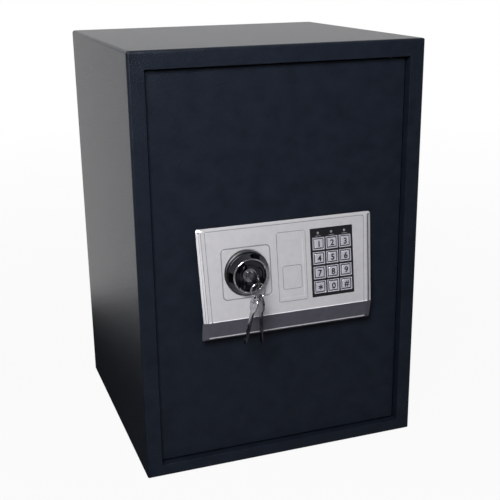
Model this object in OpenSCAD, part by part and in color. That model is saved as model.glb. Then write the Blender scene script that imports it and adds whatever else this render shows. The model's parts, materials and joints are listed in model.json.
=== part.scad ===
// Home safe with an electronic lock: a folded steel cabinet, an inset door on
// concealed pins, a moulded control panel and a knob that throws two bolts.
// The origin is at the centre of the base. The door faces -Y and Z is up.

/* [Cabinet] */
// Width of the cabinet
cabinet_w = 350; // [330:1:420]
// Depth of the cabinet
cabinet_d = 330; // [290:1:400]
// Height of the cabinet
cabinet_h = 500; // [450:1:620]
// Thickness of the folded sheet
wall_t = 3; // [2:0.5:4]
// Outside radius of the folds
bend_r = 3.5; // [2:0.5:6]
// Width of the front flange at each side
flange_side = 18.5; // [16:0.5:24]
// Height of the front flange at the top
flange_top = 20; // [17:0.5:26]
// Height of the front flange at the sill
flange_bottom = 15; // [13:0.5:18]
// Thickness of the strip that the door closes against
stop_t = 2; // [1.5:0.5:3]
// How far the stop strip reaches into the opening
stop_lip = 6; // [4:0.5:8]
// Thickness of the back panel
back_t = 3; // [2:0.5:4]
// How far the back panel lies inside the rear edge
back_inset = 1; // [0:0.5:3]
// Diameter of the anchor holes
anchor_d = 12; // [8:0.5:14]
// Distance between the two anchor holes in the floor, and in the back
anchor_pitch = 200; // [120:5:240]
// Height of the anchor holes in the back
anchor_z = 330; // [300:5:400]
// Thickness of the felt on the floor
mat_t = 3; // [2:0.5:5]

/* [Shelf] */
// Height of the shelf's upper face
shelf_z = 262; // [200:1:320]
// Thickness of the shelf sheet
shelf_t = 1.5; // [1:0.25:2.5]
// Depth of the shelf's folded edges
shelf_edge = 14; // [8:1:20]
// Width of the rails that carry the shelf
rail_w = 16; // [10:1:24]
// Thickness of the rails
rail_t = 2; // [1.5:0.5:3]

/* [Door] */
// Thickness of the door plate
door_t = 4; // [3:0.5:5]
// How far the door lies behind the front of the cabinet
door_recess = 8; // [6:0.5:10]
// Gap at the bolt side of the door
gap_latch = 2; // [1.5:0.25:3]
// Gap at the hinge side of the door
gap_hinge = 3; // [2.5:0.25:4]
// Gap above the door
gap_top = 2; // [1.5:0.25:3]
// Gap below the door
gap_bottom = 3; // [2:0.25:4]
// Diameter of the hinge pins
hinge_pin_d = 6; // [5:0.5:7]
// Width of the bar that holds the hinge pins
hinge_bar_w = 12; // [10:1:16]
// Depth of the bar that holds the hinge pins
hinge_bar_d = 10; // [9:0.5:12]

/* [Control panel] */
// Width of the panel at its upper edge
panel_w = 218; // [210:1:230]
// Height of the panel
panel_h = 133; // [125:1:150]
// Centre of the panel across the door
panel_x = 3.5; // [0:0.5:6]
// Height of the panel's lower edge
panel_z = 167; // [155:1:175]
// How far the upper edge stands out from the door
panel_top_proud = 4; // [4:0.25:6]
// How far the crease above the lower strip stands out
panel_crease_proud = 18; // [17:0.5:20]
// How far the foot of the lower strip stands out
panel_foot_proud = 13; // [11:0.5:15]
// Height of the lower strip
strip_h = 25; // [20:1:28]
// Wall of the moulded panel
panel_wall = 2; // [1.5:0.25:2.5]
// How much narrower each side of the panel is at the crease than at the top
panel_taper = 2.9; // [0:0.1:4]
// Corner radius of the panel
panel_corner_r = 3; // [2:0.5:5]
// Thickness of the panel's rim
rim_t = 2.8; // [2.6:0.1:3.4]
// Width of the bevel along the rim
rim_w = 4.8; // [3:0.1:6]
// How far the rim reaches past the walls behind it
rim_reach = 6; // [5:0.5:8]
// Distance of the bare centre plate to the right of the panel's centre
plate_offset = 4.8; // [3:0.2:7]
// Width of the bare centre plate
plate_w = 36.5; // [30:0.5:38]
// Height of the bare centre plate
plate_h = 83; // [70:0.5:86]

/* [Knob and bolts] */
// Diameter of the knob at its skirt
knob_d = 52.5; // [46:0.5:54]
// Distance of the knob to the left of the panel's centre
knob_offset = 51.5; // [49:0.5:55]
// Height of the knob's centre above the panel's lower edge
knob_up = 78; // [75:0.5:81]
// How far the knob's rim stands out from the door
knob_proud = 25; // [22:0.5:30]
// Diameter of the lock barrel in the knob
barrel_d = 16; // [15:0.5:18]
// Diameter of the plug that the key turns
plug_d = 11; // [10:0.5:12]
// Diameter of the spindle
spindle_d = 8; // [7:0.5:9]
// Diameter of the bolts
bolt_d = 18; // [14:0.5:20]
// Travel of the bolts
bolt_throw = 18; // [12:0.5:20]
// Distance between the two bolts
bolt_pitch = 120; // [110:1:150]
// Length of each bolt in front of the carriage
bolt_l = 64; // [60:1:68]

/* [Keypad] */
// Side of one key
key_size = 14.8; // [14:0.1:16]
// Distance between keys, across
key_pitch_x = 17; // [16.8:0.1:17.6]
// Distance between keys, up and down
key_pitch_z = 17.3; // [16.8:0.1:17.8]
// Travel of a key
key_travel = 1; // [0.6:0.1:1.2]
// Distance of the keypad to the right of the panel's centre
keypad_offset = 56.5; // [55:0.5:58]
// Height of the keypad's centre above the panel's lower edge
keypad_up = 78.7; // [78:0.1:81]

/* [Inner cover] */
// How far the cover reaches behind the door plate
cover_depth = 40; // [39:0.5:46]
// Thickness of the cover sheet
cover_t = 1.5; // [1:0.25:2]
// Width of the flange round the cover
cover_flange = 11; // [9:0.5:12]
// Distance from the bolt side of the door to the cover
cover_margin = 24.5; // [20:0.5:26]
// Gap between the cover's flange and the hinge bar
cover_hinge_gap = 6.5; // [3:0.5:9]
// How far the cover reaches above the upper bolt
cover_above = 47; // [42:1:60]
// How far the cover reaches below the lower bolt
cover_below = 55; // [50:1:65]
// Diameter of a battery cell
cell_d = 14.5; // [14:0.1:14.5]
// Length of a battery cell
cell_l = 50.5; // [50:0.1:50.5]

/* [Keys on the ring] */
// Diameter of a key's bow
bow_d = 21; // [18:0.5:23]
// Thickness of a key
flat_key_t = 2; // [1.6:0.1:2.2]
// Length of a key from its bow's centre to its tip
flat_key_l = 47.5; // [44:0.5:48]
// Radius of the ring, to the middle of its wire
ring_r = 8.5; // [7:0.25:10]

/* [Hidden] */

$fn = 64;

// Named clearances
seat_gap = 0.3;
running_gap = 0.05;
slide_gap = 0.1;
fit_gap = 0.25;
eps = 0.01;

// Finishes
steel_coat = "#262c36";
steel_bare = "#9a9ca0";
zinc = "#b9bbbf";
silver_plastic = "#bfbdc2";
strip_plastic = "#56555f";
black_plastic = "#17181c";
key_plastic = "#b4b1bf";
dark_chrome = "#55565c";
felt = "#3a3b40";
board_green = "#2d5b3c";
plated_brass = "#8a8a8e";
red_plastic = "#a8262a";

// Cabinet faces and opening
front_y = -cabinet_d / 2;
back_y = cabinet_d / 2;
open_x0 = -cabinet_w / 2 + flange_side;
open_x1 = cabinet_w / 2 - flange_side;
open_z0 = flange_bottom;
open_z1 = cabinet_h - flange_top;
floor_z = wall_t + mat_t;
back_face_y = back_y - back_inset - back_t;

// Door plate
door_x0 = open_x0 + gap_latch;
door_x1 = open_x1 - gap_hinge;
door_z0 = open_z0 + gap_bottom;
door_z1 = open_z1 - gap_top;
door_y0 = front_y + door_recess;
door_y1 = door_y0 + door_t;
stop_y0 = door_y1 + seat_gap;
stop_y1 = stop_y0 + stop_t;

// The hinge edge turns inside a circle round the pins, which stays clear of the frame
pivot_back = door_t + hinge_bar_d / 2;
pivot_margin = 3;
pivot_inset = (pivot_back * pivot_back - gap_hinge * gap_hinge) / (2 * gap_hinge) + pivot_margin;
pivot_x = door_x1 - pivot_inset;
pivot_y = door_y0 + pivot_back;
pin_depth = 25;
pin_collar_r = hinge_pin_d / 2 + 1.5;
socket_w = 24;
socket_front_y = front_y + wall_t;
socket_back_y = pivot_y + 10;
socket_h = flange_bottom - 2 * wall_t;
notch_r = pin_collar_r + 2.5;

// Panel form
panel_x0 = panel_x - panel_w / 2;
panel_x1 = panel_x + panel_w / 2;
panel_z1 = panel_z + panel_h;
crease_z = panel_z + strip_h;
face_slope = (panel_crease_proud - panel_top_proud) / (panel_z1 - crease_z);
face_tilt = atan(face_slope);
face_l = (panel_z1 - crease_z) / cos(face_tilt);
strip_tilt = atan((panel_crease_proud - panel_foot_proud) / strip_h);
strip_l = strip_h / cos(strip_tilt);
crease_half_w = panel_w / 2 - panel_taper;
rim_drop = 1.9;
rim_top = 3.4;
body_lap = 1;
body_inset = 3;
border_w = 9.4;
line_w = 0.8;
line_d = 0.5;
function face_y(z) = door_y0 - panel_top_proud - (panel_z1 - z) * face_slope;

// Places on the panel
knob_x = panel_x - knob_offset;
knob_z = panel_z + knob_up;
keypad_x = panel_x + keypad_offset;
keypad_z = panel_z + keypad_up;
plate_x = panel_x + plate_offset;

// Knob, from the door outwards
well_gap = 0.9;
well_r = knob_d / 2 + well_gap;
well_y = face_y(knob_z + well_r) + 1;
well_floor_t = 2;
skirt_y = well_y - 0.4;
skirt_front_y = face_y(knob_z - well_r) + 0.2;
knob_front_y = door_y0 - knob_proud;
plug_face_y = knob_front_y + 3.5;
hub_r = barrel_d / 2 + 3.5;
barrel_back_y = door_y1 + 5;
keyway_w = 8;

// Bolt work, from the door inwards
bolt_y = stop_y1 + 1.7 + bolt_d / 2;
bolt_rest_x = open_x0 + stop_lip + 2.5;
flange_x = bolt_rest_x + bolt_l;
carriage_t = 2.5;
carriage_y0 = bolt_y + bolt_d / 2;
carriage_y1 = carriage_y0 + carriage_t;
cam_t = 3;
cam_y0 = carriage_y1 + 1;
cam_y1 = cam_y0 + cam_t;
crank_turn = 90;
crank_r = bolt_throw / (2 * sin(crank_turn / 2));
crank_pin_r = 2.5;
crank_slack = 0.5;
bolt_zs = [knob_z - bolt_pitch / 2, knob_z + bolt_pitch / 2];
post_r = 3;
post_x = knob_x - 12;
post_zs = [knob_z - 38, knob_z + 38];
carriage_right = knob_x + 28;
carriage_margin = 15;
tail_end = 12;
tail_z0 = knob_z - 30;
tail_z1 = knob_z - 10;
plunger_offset = 53;
plunger_x = knob_x + plunger_offset;
plunger_y = carriage_y0 + carriage_t / 2;
plunger_r = 3;
solenoid_z0 = tail_z0 - 35;
solenoid_z1 = solenoid_z0 + 26;
solenoid_w = 26;
solenoid_d = 22;

// Inner cover, round the lock works and between the door's two edges
cover_y1 = door_y1 + cover_depth;
cover_left = door_x0 + cover_margin;
cover_right = pivot_x - hinge_bar_w / 2 - cover_hinge_gap - cover_flange;
cover_bottom = bolt_zs[0] - cover_below;
cover_top = bolt_zs[1] + cover_above;
stud_r = 2;
stud_xs = [cover_left - cover_flange / 2, cover_right + cover_flange / 2];
stud_zs = [cover_bottom + 20, cover_top - 20];
tray_inset = 9;
tray_w = cell_l + 15.5;
tray_h = 4 * (cell_d + 0.8) + 4;
tray_x0 = cover_right - tray_inset - tray_w;
tray_z0 = cover_bottom + 18;
tray_depth = cell_d + 4;
tray_y1 = cover_y1 - cover_t - seat_gap;
lid_overlap = 3;
lid_t = 1.5;
lid_travel = tray_h;
button_x = tray_x0 + 35;
button_z = cover_top - 38;

// Keypad, measured from the panel's face inwards
bezel_w = 3 * key_pitch_x + 3.8;
bezel_h = 4 * key_pitch_z + 13.2;
bezel_sink = 0.5;
bezel_t = 2;
key_rise = 1.6;
key_step = 0.8;
key_rim = 0.8;
key_foot = 2.4;
mat_top = key_foot + key_travel + seat_gap;
mat_sheet = 0.6;
board_t = 1.4;
keys_z = keypad_z - 3.3;
light_z = keypad_z + 35.1;

// Keys and ring
bow_hole_r = 2.75;
bow_hole_u = bow_d / 2 - 4;
wire_r = 0.7;
plug_back_y = barrel_back_y - 2 - seat_gap;
bow_y = plug_back_y - 1 - flat_key_l;
ring_y = bow_y - bow_hole_u;
wire_reach = wire_r + 0.9;
hang_drop = bow_hole_r - wire_reach;
ring_top_z = knob_z - hang_drop;
ring_z = ring_top_z - ring_r;
spare_offset = 3;
spare_z = ring_z - sqrt(ring_r * ring_r - spare_offset * spare_offset);

// Box between two corners
module block(x0, x1, y0, y1, z0, z1) {
    translate([x0, y0, z0])
        cube([x1 - x0, y1 - y0, z1 - z0]);
}

// Rectangle with round corners
module outline(x0, x1, z0, z1, r) {
    translate([x0 + r, z0])
        square([x1 - x0 - 2 * r, z1 - z0]);
    translate([x0, z0 + r])
        square([x1 - x0, z1 - z0 - 2 * r]);
    for (x = [x0 + r, x1 - r], z = [z0 + r, z1 - r])
        translate([x, z])
            circle(r);
}

// Turns a drawing in X and Z into a plate between two depths
module upright(y0, y1) {
    translate([0, y1, 0])
        rotate([90, 0, 0])
            linear_extrude(y1 - y0)
                children();
}

// Plate with round corners, standing upright
module plate(x0, x1, z0, z1, y0, y1, r) {
    upright(y0, y1)
        outline(x0, x1, z0, z1, r);
}

// Round bars along each axis
module bar_x(x0, x1, y, z, r) {
    translate([x0, y, z])
        rotate([0, 90, 0])
            cylinder(r = r, h = x1 - x0);
}

module bar_y(x, z, y0, y1, r) {
    translate([x, y1, z])
        rotate([90, 0, 0])
            cylinder(r = r, h = y1 - y0);
}

module bar_z(x, y, z0, z1, r) {
    translate([x, y, z0])
        cylinder(r = r, h = z1 - z0);
}

// Places children on the panel's sloping face: local X is across, Y is up the face, Z points out
module on_face(x, z) {
    translate([x, face_y(z), z])
        rotate([90 - face_tilt, 0, 0])
            children();
}

// Slot with round ends, drawn along its length
module slot_outline(length, r) {
    translate([0, -r])
        square([length, 2 * r]);
    circle(r);
    translate([length, 0])
        circle(r);
}

// Tube along a path, as rings of points joined by quads
function unit(v) = v / norm(v);
function path_dir(p, i) = unit(p[min(i + 1, len(p) - 1)] - p[max(i - 1, 0)]);
function side_dir(d) = unit(cross(d, abs(d[2]) < 0.9 ? [0, 0, 1] : [1, 0, 0]));
function ring_point(c, d, a, r) = c + r * (cos(a) * side_dir(d) + sin(a) * cross(side_dir(d), d));

module tube(path, r, sides) {
    rings = len(path);
    points = [
        for (i = [0 : rings - 1], k = [0 : sides - 1])
            ring_point(path[i], path_dir(path, i), k * 360 / sides, r)
    ];
    walls = [
        for (i = [0 : rings - 2], k = [0 : sides - 1])
            let (a = i * sides + k, b = i * sides + (k + 1) % sides)
                each [[a, a + sides, b], [b, a + sides, b + sides]]
    ];
    first_cap = [for (k = [0 : sides - 1]) k];
    last_cap = [for (k = [sides - 1 : -1 : 0]) (rings - 1) * sides + k];
    polyhedron(points, concat([first_cap], walls, [last_cap]));
}

// Cabinet: one folded sheet with the front flange and its returns
module cabinet_wrap() {
    color(steel_coat)
        difference() {
            union() {
                difference() {
                    intersection() {
                        plate(-cabinet_w / 2, cabinet_w / 2, 0, cabinet_h, front_y, back_y, bend_r);
                        linear_extrude(cabinet_h)
                            front_folds();
                        translate([-cabinet_w / 2, 0, 0])
                            rotate([90, 0, 90])
                                linear_extrude(cabinet_w)
                                    side_folds();
                    }
                    block(-cabinet_w / 2 + wall_t, cabinet_w / 2 - wall_t,
                        front_y + wall_t, back_y + 1, wall_t, cabinet_h - wall_t);
                }
                block(open_x0 - wall_t, open_x1 + wall_t, front_y + wall_t - eps, stop_y1,
                    open_z0 - wall_t, open_z1 + wall_t);
            }
            block(open_x0, open_x1, front_y - 1, stop_y1 + 1, open_z0, open_z1);
            bar_z(pivot_x, pivot_y, open_z0 - wall_t - eps, open_z0 + 1, notch_r);
            bar_z(pivot_x, pivot_y, open_z1 - 1, open_z1 + wall_t + eps, notch_r);
            for (x = [-anchor_pitch / 2, anchor_pitch / 2])
                bar_z(x, 0, -1, wall_t + 1, anchor_d / 2);
        }
}

// Cabinet seen from above, with its two front folds rounded
module front_folds() {
    x1 = cabinet_w / 2;
    translate([-x1, front_y + bend_r])
        square([cabinet_w, cabinet_d - bend_r]);
    translate([-x1 + bend_r, front_y])
        square([cabinet_w - 2 * bend_r, cabinet_d]);
    for (x = [-x1 + bend_r, x1 - bend_r])
        translate([x, front_y + bend_r])
            circle(bend_r);
}

// Cabinet seen from the side, with its front top and bottom folds rounded
module side_folds() {
    translate([front_y + bend_r, 0])
        square([cabinet_d - bend_r, cabinet_h]);
    translate([front_y, bend_r])
        square([cabinet_d, cabinet_h - 2 * bend_r]);
    for (z = [bend_r, cabinet_h - bend_r])
        translate([front_y + bend_r, z])
            circle(bend_r);
}

module back_panel() {
    color(steel_coat)
        difference() {
            block(-cabinet_w / 2 + wall_t, cabinet_w / 2 - wall_t,
                back_face_y, back_face_y + back_t, wall_t, cabinet_h - wall_t);
            for (x = [-anchor_pitch / 2, anchor_pitch / 2])
                bar_y(x, anchor_z, back_face_y - 1, back_face_y + back_t + 1, anchor_d / 2);
        }
}

// Strip welded inside the returns at the bolt side, the top and the sill
module door_stop() {
    reach_x = pivot_x - 20;
    color(steel_coat)
        difference() {
            block(open_x0, reach_x, stop_y0, stop_y1, open_z0, open_z1);
            block(open_x0 + stop_lip, reach_x + 1, stop_y0 - 1, stop_y1 + 1,
                open_z0 + stop_lip, open_z1 - stop_lip);
        }
}

// Blocks behind the flange that the hinge pins turn in
module hinge_sockets() {
    color(steel_bare)
        for (z = [wall_t, open_z1 + wall_t])
            difference() {
                block(pivot_x - socket_w / 2, pivot_x + socket_w / 2, socket_front_y, socket_back_y,
                    z, z + socket_h);
                bar_z(pivot_x, pivot_y, z - 1, z + socket_h + 1, hinge_pin_d / 2 + running_gap);
            }
}

module floor_mat() {
    color(felt)
        difference() {
            block(-cabinet_w / 2 + wall_t + 2, cabinet_w / 2 - wall_t - 2, socket_back_y + 4, back_face_y - 2,
                wall_t, floor_z);
            for (x = [-anchor_pitch / 2, anchor_pitch / 2])
                bar_z(x, 0, wall_t - 1, floor_z + 1, anchor_d / 2 + 4);
        }
}

// Angle rails welded to the side walls
module shelf_rails() {
    color(steel_coat)
        for (side = [0, 1])
            mirror([side, 0, 0])
                rail();
}

module rail() {
    x1 = cabinet_w / 2 - wall_t;
    top = shelf_z - shelf_t;
    y0 = shelf_y0 + 12;
    y1 = back_face_y - 8;
    block(x1 - rail_t, x1, y0, y1, top - rail_w, top);
    block(x1 - rail_w, x1, y0, y1, top - rail_t, top);
}

shelf_y0 = cover_y1 + 12;

// Tray-like shelf with its front and back edges folded down
module shelf() {
    x1 = cabinet_w / 2 - wall_t - 2;
    y1 = back_face_y - 3;
    color(steel_coat) {
        block(-x1, x1, shelf_y0, y1, shelf_z - shelf_t, shelf_z);
        block(-x1, x1, shelf_y0, shelf_y0 + shelf_t, shelf_z - shelf_edge, shelf_z);
        block(-x1 + rail_w, x1 - rail_w, y1 - shelf_t, y1, shelf_z - shelf_edge, shelf_z);
    }
}

// Door plate with the holes for the bush, the lead and the panel's screws
module door_plate() {
    color(steel_coat)
        difference() {
            plate(door_x0, door_x1, door_z0, door_z1, door_y0, door_y1, 2);
            bar_y(knob_x, knob_z, door_y0 - 1, door_y1 + 1, bush_r + running_gap);
            bar_y(lead_x, lead_z, door_y0 - 1, door_y1 + 1, lead_hole_r);
            for (p = panel_fixings)
                bar_y(p[0], p[1], door_y0 - 1, door_y1 + 1, screw_r + 0.3);
        }
}

bush_r = barrel_d / 2 + 3;
lead_x = keypad_x + 4;
lead_z = keypad_z - 46;
lead_hole_r = 6;
screw_r = 2;
boss_r = 4.5;
fixing_margin = 10 + rim_reach;
panel_fixings = [
    [panel_x0 + fixing_margin, panel_z1 - 12], [panel_x1 - fixing_margin, panel_z1 - 12],
    [panel_x0 + fixing_margin, crease_z + 8], [panel_x1 - fixing_margin, crease_z + 8]
];

module hinge_bar() {
    color(steel_bare)
        difference() {
            block(pivot_x - hinge_bar_w / 2, pivot_x + hinge_bar_w / 2, door_y1, door_y1 + hinge_bar_d,
                door_z0, door_z1);
            bar_z(pivot_x, pivot_y, door_z0 - 1, door_z0 + pin_depth, hinge_pin_d / 2 + eps);
            bar_z(pivot_x, pivot_y, door_z1 - pin_depth, door_z1 + 1, hinge_pin_d / 2 + eps);
        }
}

// The lower pin has a collar that carries the door
module hinge_pins() {
    pin_reach = socket_h - 2;
    color(zinc) {
        bar_z(pivot_x, pivot_y, open_z0 - wall_t - pin_reach, door_z0 + pin_depth, hinge_pin_d / 2);
        bar_z(pivot_x, pivot_y, open_z0 - wall_t + seat_gap, door_z0, pin_collar_r);
        bar_z(pivot_x, pivot_y, door_z1 - pin_depth, open_z1 + wall_t + pin_reach, hinge_pin_d / 2);
    }
}

// Flanged sleeve in the door plate that the lock barrel turns in
module spindle_bush() {
    color(zinc)
        difference() {
            union() {
                bar_y(knob_x, knob_z, door_y0, door_y1 + 2.5, bush_r);
                bar_y(knob_x, knob_z, door_y1, door_y1 + 1.5, bush_r + 3);
            }
            bar_y(knob_x, knob_z, door_y0 - 1, door_y1 + 4, barrel_d / 2 + running_gap);
        }
}

// Stepped posts that guide the carriage
module guide_posts() {
    color(zinc)
        for (z = post_zs) {
            bar_y(post_x, z, door_y1, carriage_y0 - seat_gap, post_r + 2.5);
            bar_y(post_x, z, door_y1, carriage_y1 + seat_gap + 1, post_r);
            bar_y(post_x, z, carriage_y1 + seat_gap, carriage_y1 + seat_gap + 2, post_r + 2.5);
        }
}

guide_w = 13;
guide_wall = 5;
guide_x0 = cover_left + cover_t + 1.5;
guide_x1 = guide_x0 + guide_w;

// Blocks welded to the door plate, with a bore for each bolt
module bolt_guides() {
    guide_h = bolt_d + 2 * guide_wall;
    color(steel_bare)
        for (z = bolt_zs)
            difference() {
                block(guide_x0, guide_x1, door_y1, bolt_y + bolt_d / 2 + 3, z - guide_h / 2, z + guide_h / 2);
                bar_x(guide_x0 - 1, guide_x1 + 1, bolt_y, z, bolt_d / 2 + slide_gap);
            }
}

// Places children on the lower strip's face, at its crease: Y is up the face, Z points out
module on_strip() {
    translate([panel_x, door_y0 - panel_crease_proud, crease_z])
        rotate([90 + strip_tilt, 0, 0])
            children();
}

// Outline of the sloping face, drawn from the crease and narrower there
module face_outline(side, top) {
    r = panel_corner_r;
    low = crease_half_w - side;
    high = panel_w / 2 - side;
    hull() {
        for (x = [-1, 1])
            translate([x * (high - r), face_l - top - r])
                circle(r, $fn = 32);
        translate([-low, -0.5])
            square([2 * low, 1]);
    }
}

// Sloping plate with a bevelled rim
module face_plate() {
    on_face(panel_x, crease_z)
        hull() {
            translate([0, 0, -rim_t])
                linear_extrude(rim_t - rim_drop)
                    face_outline(0, 0);
            translate([0, 0, -rim_t])
                linear_extrude(rim_t)
                    face_outline(rim_w, rim_drop);
        }
}

// Plate of the lower strip, with a wide bevel at both ends and a small one at the foot
module strip_plate() {
    end_w = border_w - 2;
    foot_w = 3;
    half_w = crease_half_w + 1;
    edge_t = 0.8;
    on_strip()
        hull() {
            translate([0, 0, -rim_t - 0.4])
                linear_extrude(edge_t)
                    outline(-half_w, half_w, -strip_l, 6, panel_corner_r);
            translate([0, 0, -rim_t])
                linear_extrude(rim_t)
                    outline(-half_w + end_w, half_w - end_w, -strip_l + foot_w, 5, 1);
        }
}

// Wedge behind the face, a given depth behind it and inside its edges: it leans out to the
// crease, then back to the foot
module wedge(depth, inset, half_w, back) {
    top = panel_z1 - inset;
    foot = panel_z + inset;
    foot_y = door_y0 - panel_foot_proud + depth;
    translate([panel_x - half_w, 0, 0])
        rotate([90, 0, 90])
            linear_extrude(2 * half_w)
                polygon([
                    [back, top], [face_y(top) + depth, top],
                    [door_y0 - panel_crease_proud + depth, crease_z], [foot_y, foot], [back, foot]
                ]);
}

module panel_body() {
    wedge(body_lap, body_inset, crease_half_w - rim_reach, door_y0);
}

// Hollow inside the panel, open towards the door
module panel_cavity() {
    wedge(rim_t - 0.4, body_inset + panel_wall, crease_half_w - rim_reach - panel_wall, door_y0 + 1);
}

// Everything below the crease, which the lower strip fills
module strip_zone() {
    block(panel_x0 - 1, panel_x1 + 1, door_y0 - 30, door_y0 + 1, panel_z - 1, crease_z - 1);
}

// Fine lines in the face: one beside each bevel, and a frame with round corners
module face_lines() {
    low = crease_half_w - rim_w;
    high = panel_w / 2 - rim_w;
    top = face_l - rim_top;
    for (side = [-1, 1])
        polygon([
            [side * low, -2], [side * (low - line_w), -2], [side * (high - line_w), top], [side * high, top]
        ]);
    difference() {
        face_outline(border_w, rim_top);
        face_outline(border_w + line_w, rim_top + line_w);
    }
}

// Upper moulding: the sloping face with the knob's well and the keypad's window
module panel_housing() {
    color(silver_plastic)
        difference() {
            union() {
                face_plate();
                panel_body();
            }
            difference() {
                panel_cavity();
                bar_y(knob_x, knob_z, door_y0 - 30, well_y + well_floor_t, well_r + panel_wall);
                for (p = panel_fixings)
                    bar_y(p[0], p[1], door_y0 - 30, door_y0, boss_r);
            }
            bar_y(knob_x, knob_z, door_y0 - 30, well_y, well_r);
            bar_y(knob_x, knob_z, well_y - 1, door_y0 + 1, hub_r + 0.5);
            for (p = panel_fixings)
                bar_y(p[0], p[1], face_y(p[1]) + panel_wall, door_y0 + 1, screw_r - 0.2);
            on_face(keypad_x, keypad_z)
                translate([-bezel_w / 2 - slide_gap, -bezel_h / 2 - slide_gap, -8])
                    cube([bezel_w + 2 * slide_gap, bezel_h + 2 * slide_gap, 12]);
            on_face(plate_x, keypad_z)
                translate([0, 0, -plate_sink])
                    linear_extrude(4)
                        outline(-plate_w / 2, plate_w / 2, -plate_h / 2, plate_h / 2, 2);
            on_face(knob_x, knob_z)
                translate([0, 0, -line_d])
                    linear_extrude(4)
                        frame_line(pad_w, pad_w, 6, 2 * line_w);
            on_face(panel_x, crease_z)
                translate([0, 0, -line_d])
                    linear_extrude(4)
                        face_lines();
            strip_zone();
        }
}

plate_sink = 0.4;
pad_w = 61;

// Thin line in the shape of a rectangle with round corners
module frame_line(w, h, r, t) {
    difference() {
        outline(-w / 2, w / 2, -h / 2, h / 2, r);
        outline(-w / 2 + t, w / 2 - t, -h / 2 + t, h / 2 - t, r - t);
    }
}

// Lower strip, a moulding of its own with a rib along its foot
module panel_strip() {
    color(strip_plastic)
        difference() {
            intersection() {
                union() {
                    strip_plate();
                    panel_body();
                    strip_rib();
                }
                translate([0, 0, -fit_gap])
                    strip_zone();
            }
            panel_cavity();
        }
}

// Rib along the strip's foot
module strip_rib() {
    rib_half_w = crease_half_w - border_w + 2.5;
    rib_up = 3.8;
    rib_h = 1.2;
    on_strip()
        translate([-rib_half_w, rib_up - strip_l, -1])
            cube([2 * rib_half_w, rib_h, 1.6]);
}

// Bare plate between the knob and the keypad, with a shallow field and a small frame in it
module centre_plate() {
    top = plate_h / 2 - slide_gap;
    field_half_w = plate_w / 2 - 4;
    field_top = plate_h / 2 - 10.5;
    frame_low = 13;
    frame_w = 24.5;
    frame_h = 28.4;
    rise = 0.7;
    color(silver_plastic)
        on_face(plate_x, keypad_z)
            difference() {
                translate([0, 0, -plate_sink])
                    linear_extrude(plate_sink + rise)
                        outline(-plate_w / 2 + slide_gap, plate_w / 2 - slide_gap, -top, top, 2);
                translate([0, 0, rise - plate_sink])
                    linear_extrude(2)
                        outline(-field_half_w, field_half_w, -plate_h / 2 + 4.5, field_top, 1);
                translate([0, -frame_low, 0])
                    linear_extrude(2)
                        frame_line(frame_w, frame_h, 3, line_w);
            }
}

// Places children at a key's centre, column -1 to 1 from the left and row 0 to 3 from the top
module at_key(column, row) {
    on_face(keypad_x + column * key_pitch_x, keys_z + (1.5 - row) * key_pitch_z)
        children();
}

module keypad_bezel() {
    hole = key_size + 2 * fit_gap;
    color(black_plastic)
        difference() {
            on_face(keypad_x, keypad_z)
                translate([0, 0, -bezel_sink - bezel_t])
                    linear_extrude(bezel_t)
                        outline(-bezel_w / 2, bezel_w / 2, -bezel_h / 2, bezel_h / 2, 1);
            for (column = [-1 : 1], row = [0 : 3])
                at_key(column, row)
                    translate([-hole / 2, -hole / 2, -6])
                        cube([hole, hole, 9]);
            for (column = [-1 : 1])
                on_face(keypad_x + column * key_pitch_x, light_z)
                    translate([0, 0, -6])
                        cylinder(r = light_r + slide_gap, h = 9);
        }
}

light_r = 1.5;

module indicator_lights() {
    color("#d8d9dd")
        for (column = [-1 : 1])
            on_face(keypad_x + column * key_pitch_x, light_z)
                translate([0, 0, -mat_top - mat_sheet + 2 * eps]) {
                    cylinder(r = light_r, h = mat_top + mat_sheet - 0.2);
                    translate([0, 0, mat_top + mat_sheet - 0.2])
                        cylinder(r1 = light_r, r2 = light_r - 0.6, h = 0.5);
                }
}

module key_mat() {
    color("#4a4c52")
        on_face(keypad_x, keys_z)
            translate([0, 0, -mat_top - mat_sheet])
                linear_extrude(mat_sheet)
                    outline(-1.5 * key_pitch_x, 1.5 * key_pitch_x, -2 * key_pitch_z, 2 * key_pitch_z, 1);
}

module circuit_board() {
    top = mat_top + mat_sheet;
    color(board_green)
        on_face(keypad_x, keypad_z - 1)
            translate([-bezel_w / 2 + 1, -bezel_h / 2 + 2, -top - board_t - eps])
                cube([bezel_w - 2, bezel_h - 4, board_t]);
}

// One keypad key: a square base with a thin rim, and a raised pad in the middle for its legend
module pad_key(column, row) {
    side = key_size;
    inner = side - 2 * key_rim;
    pad_foot = side - 4.2;
    pad_top = pad_foot - 1.4;
    color(key_plastic)
        at_key(column, row) {
            difference() {
                translate([-side / 2, -side / 2, -key_foot])
                    cube([side, side, key_foot + key_step]);
                translate([-inner / 2, -inner / 2, 0])
                    cube([inner, inner, key_step + 1]);
            }
            hull() {
                translate([-pad_foot / 2, -pad_foot / 2, -eps])
                    cube([pad_foot, pad_foot, eps]);
                translate([-pad_top / 2, -pad_top / 2, key_rise - eps])
                    cube([pad_top, pad_top, eps]);
            }
        }
}

// Screws from inside the door into the panel's bosses
module panel_screws() {
    color(zinc)
        for (p = panel_fixings) {
            bar_y(p[0], p[1], face_y(p[1]) + panel_wall + 0.5, door_y1, screw_r - 0.25);
            bar_y(p[0], p[1], door_y1, door_y1 + 1.6, screw_r + 1.5);
        }
}

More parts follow.
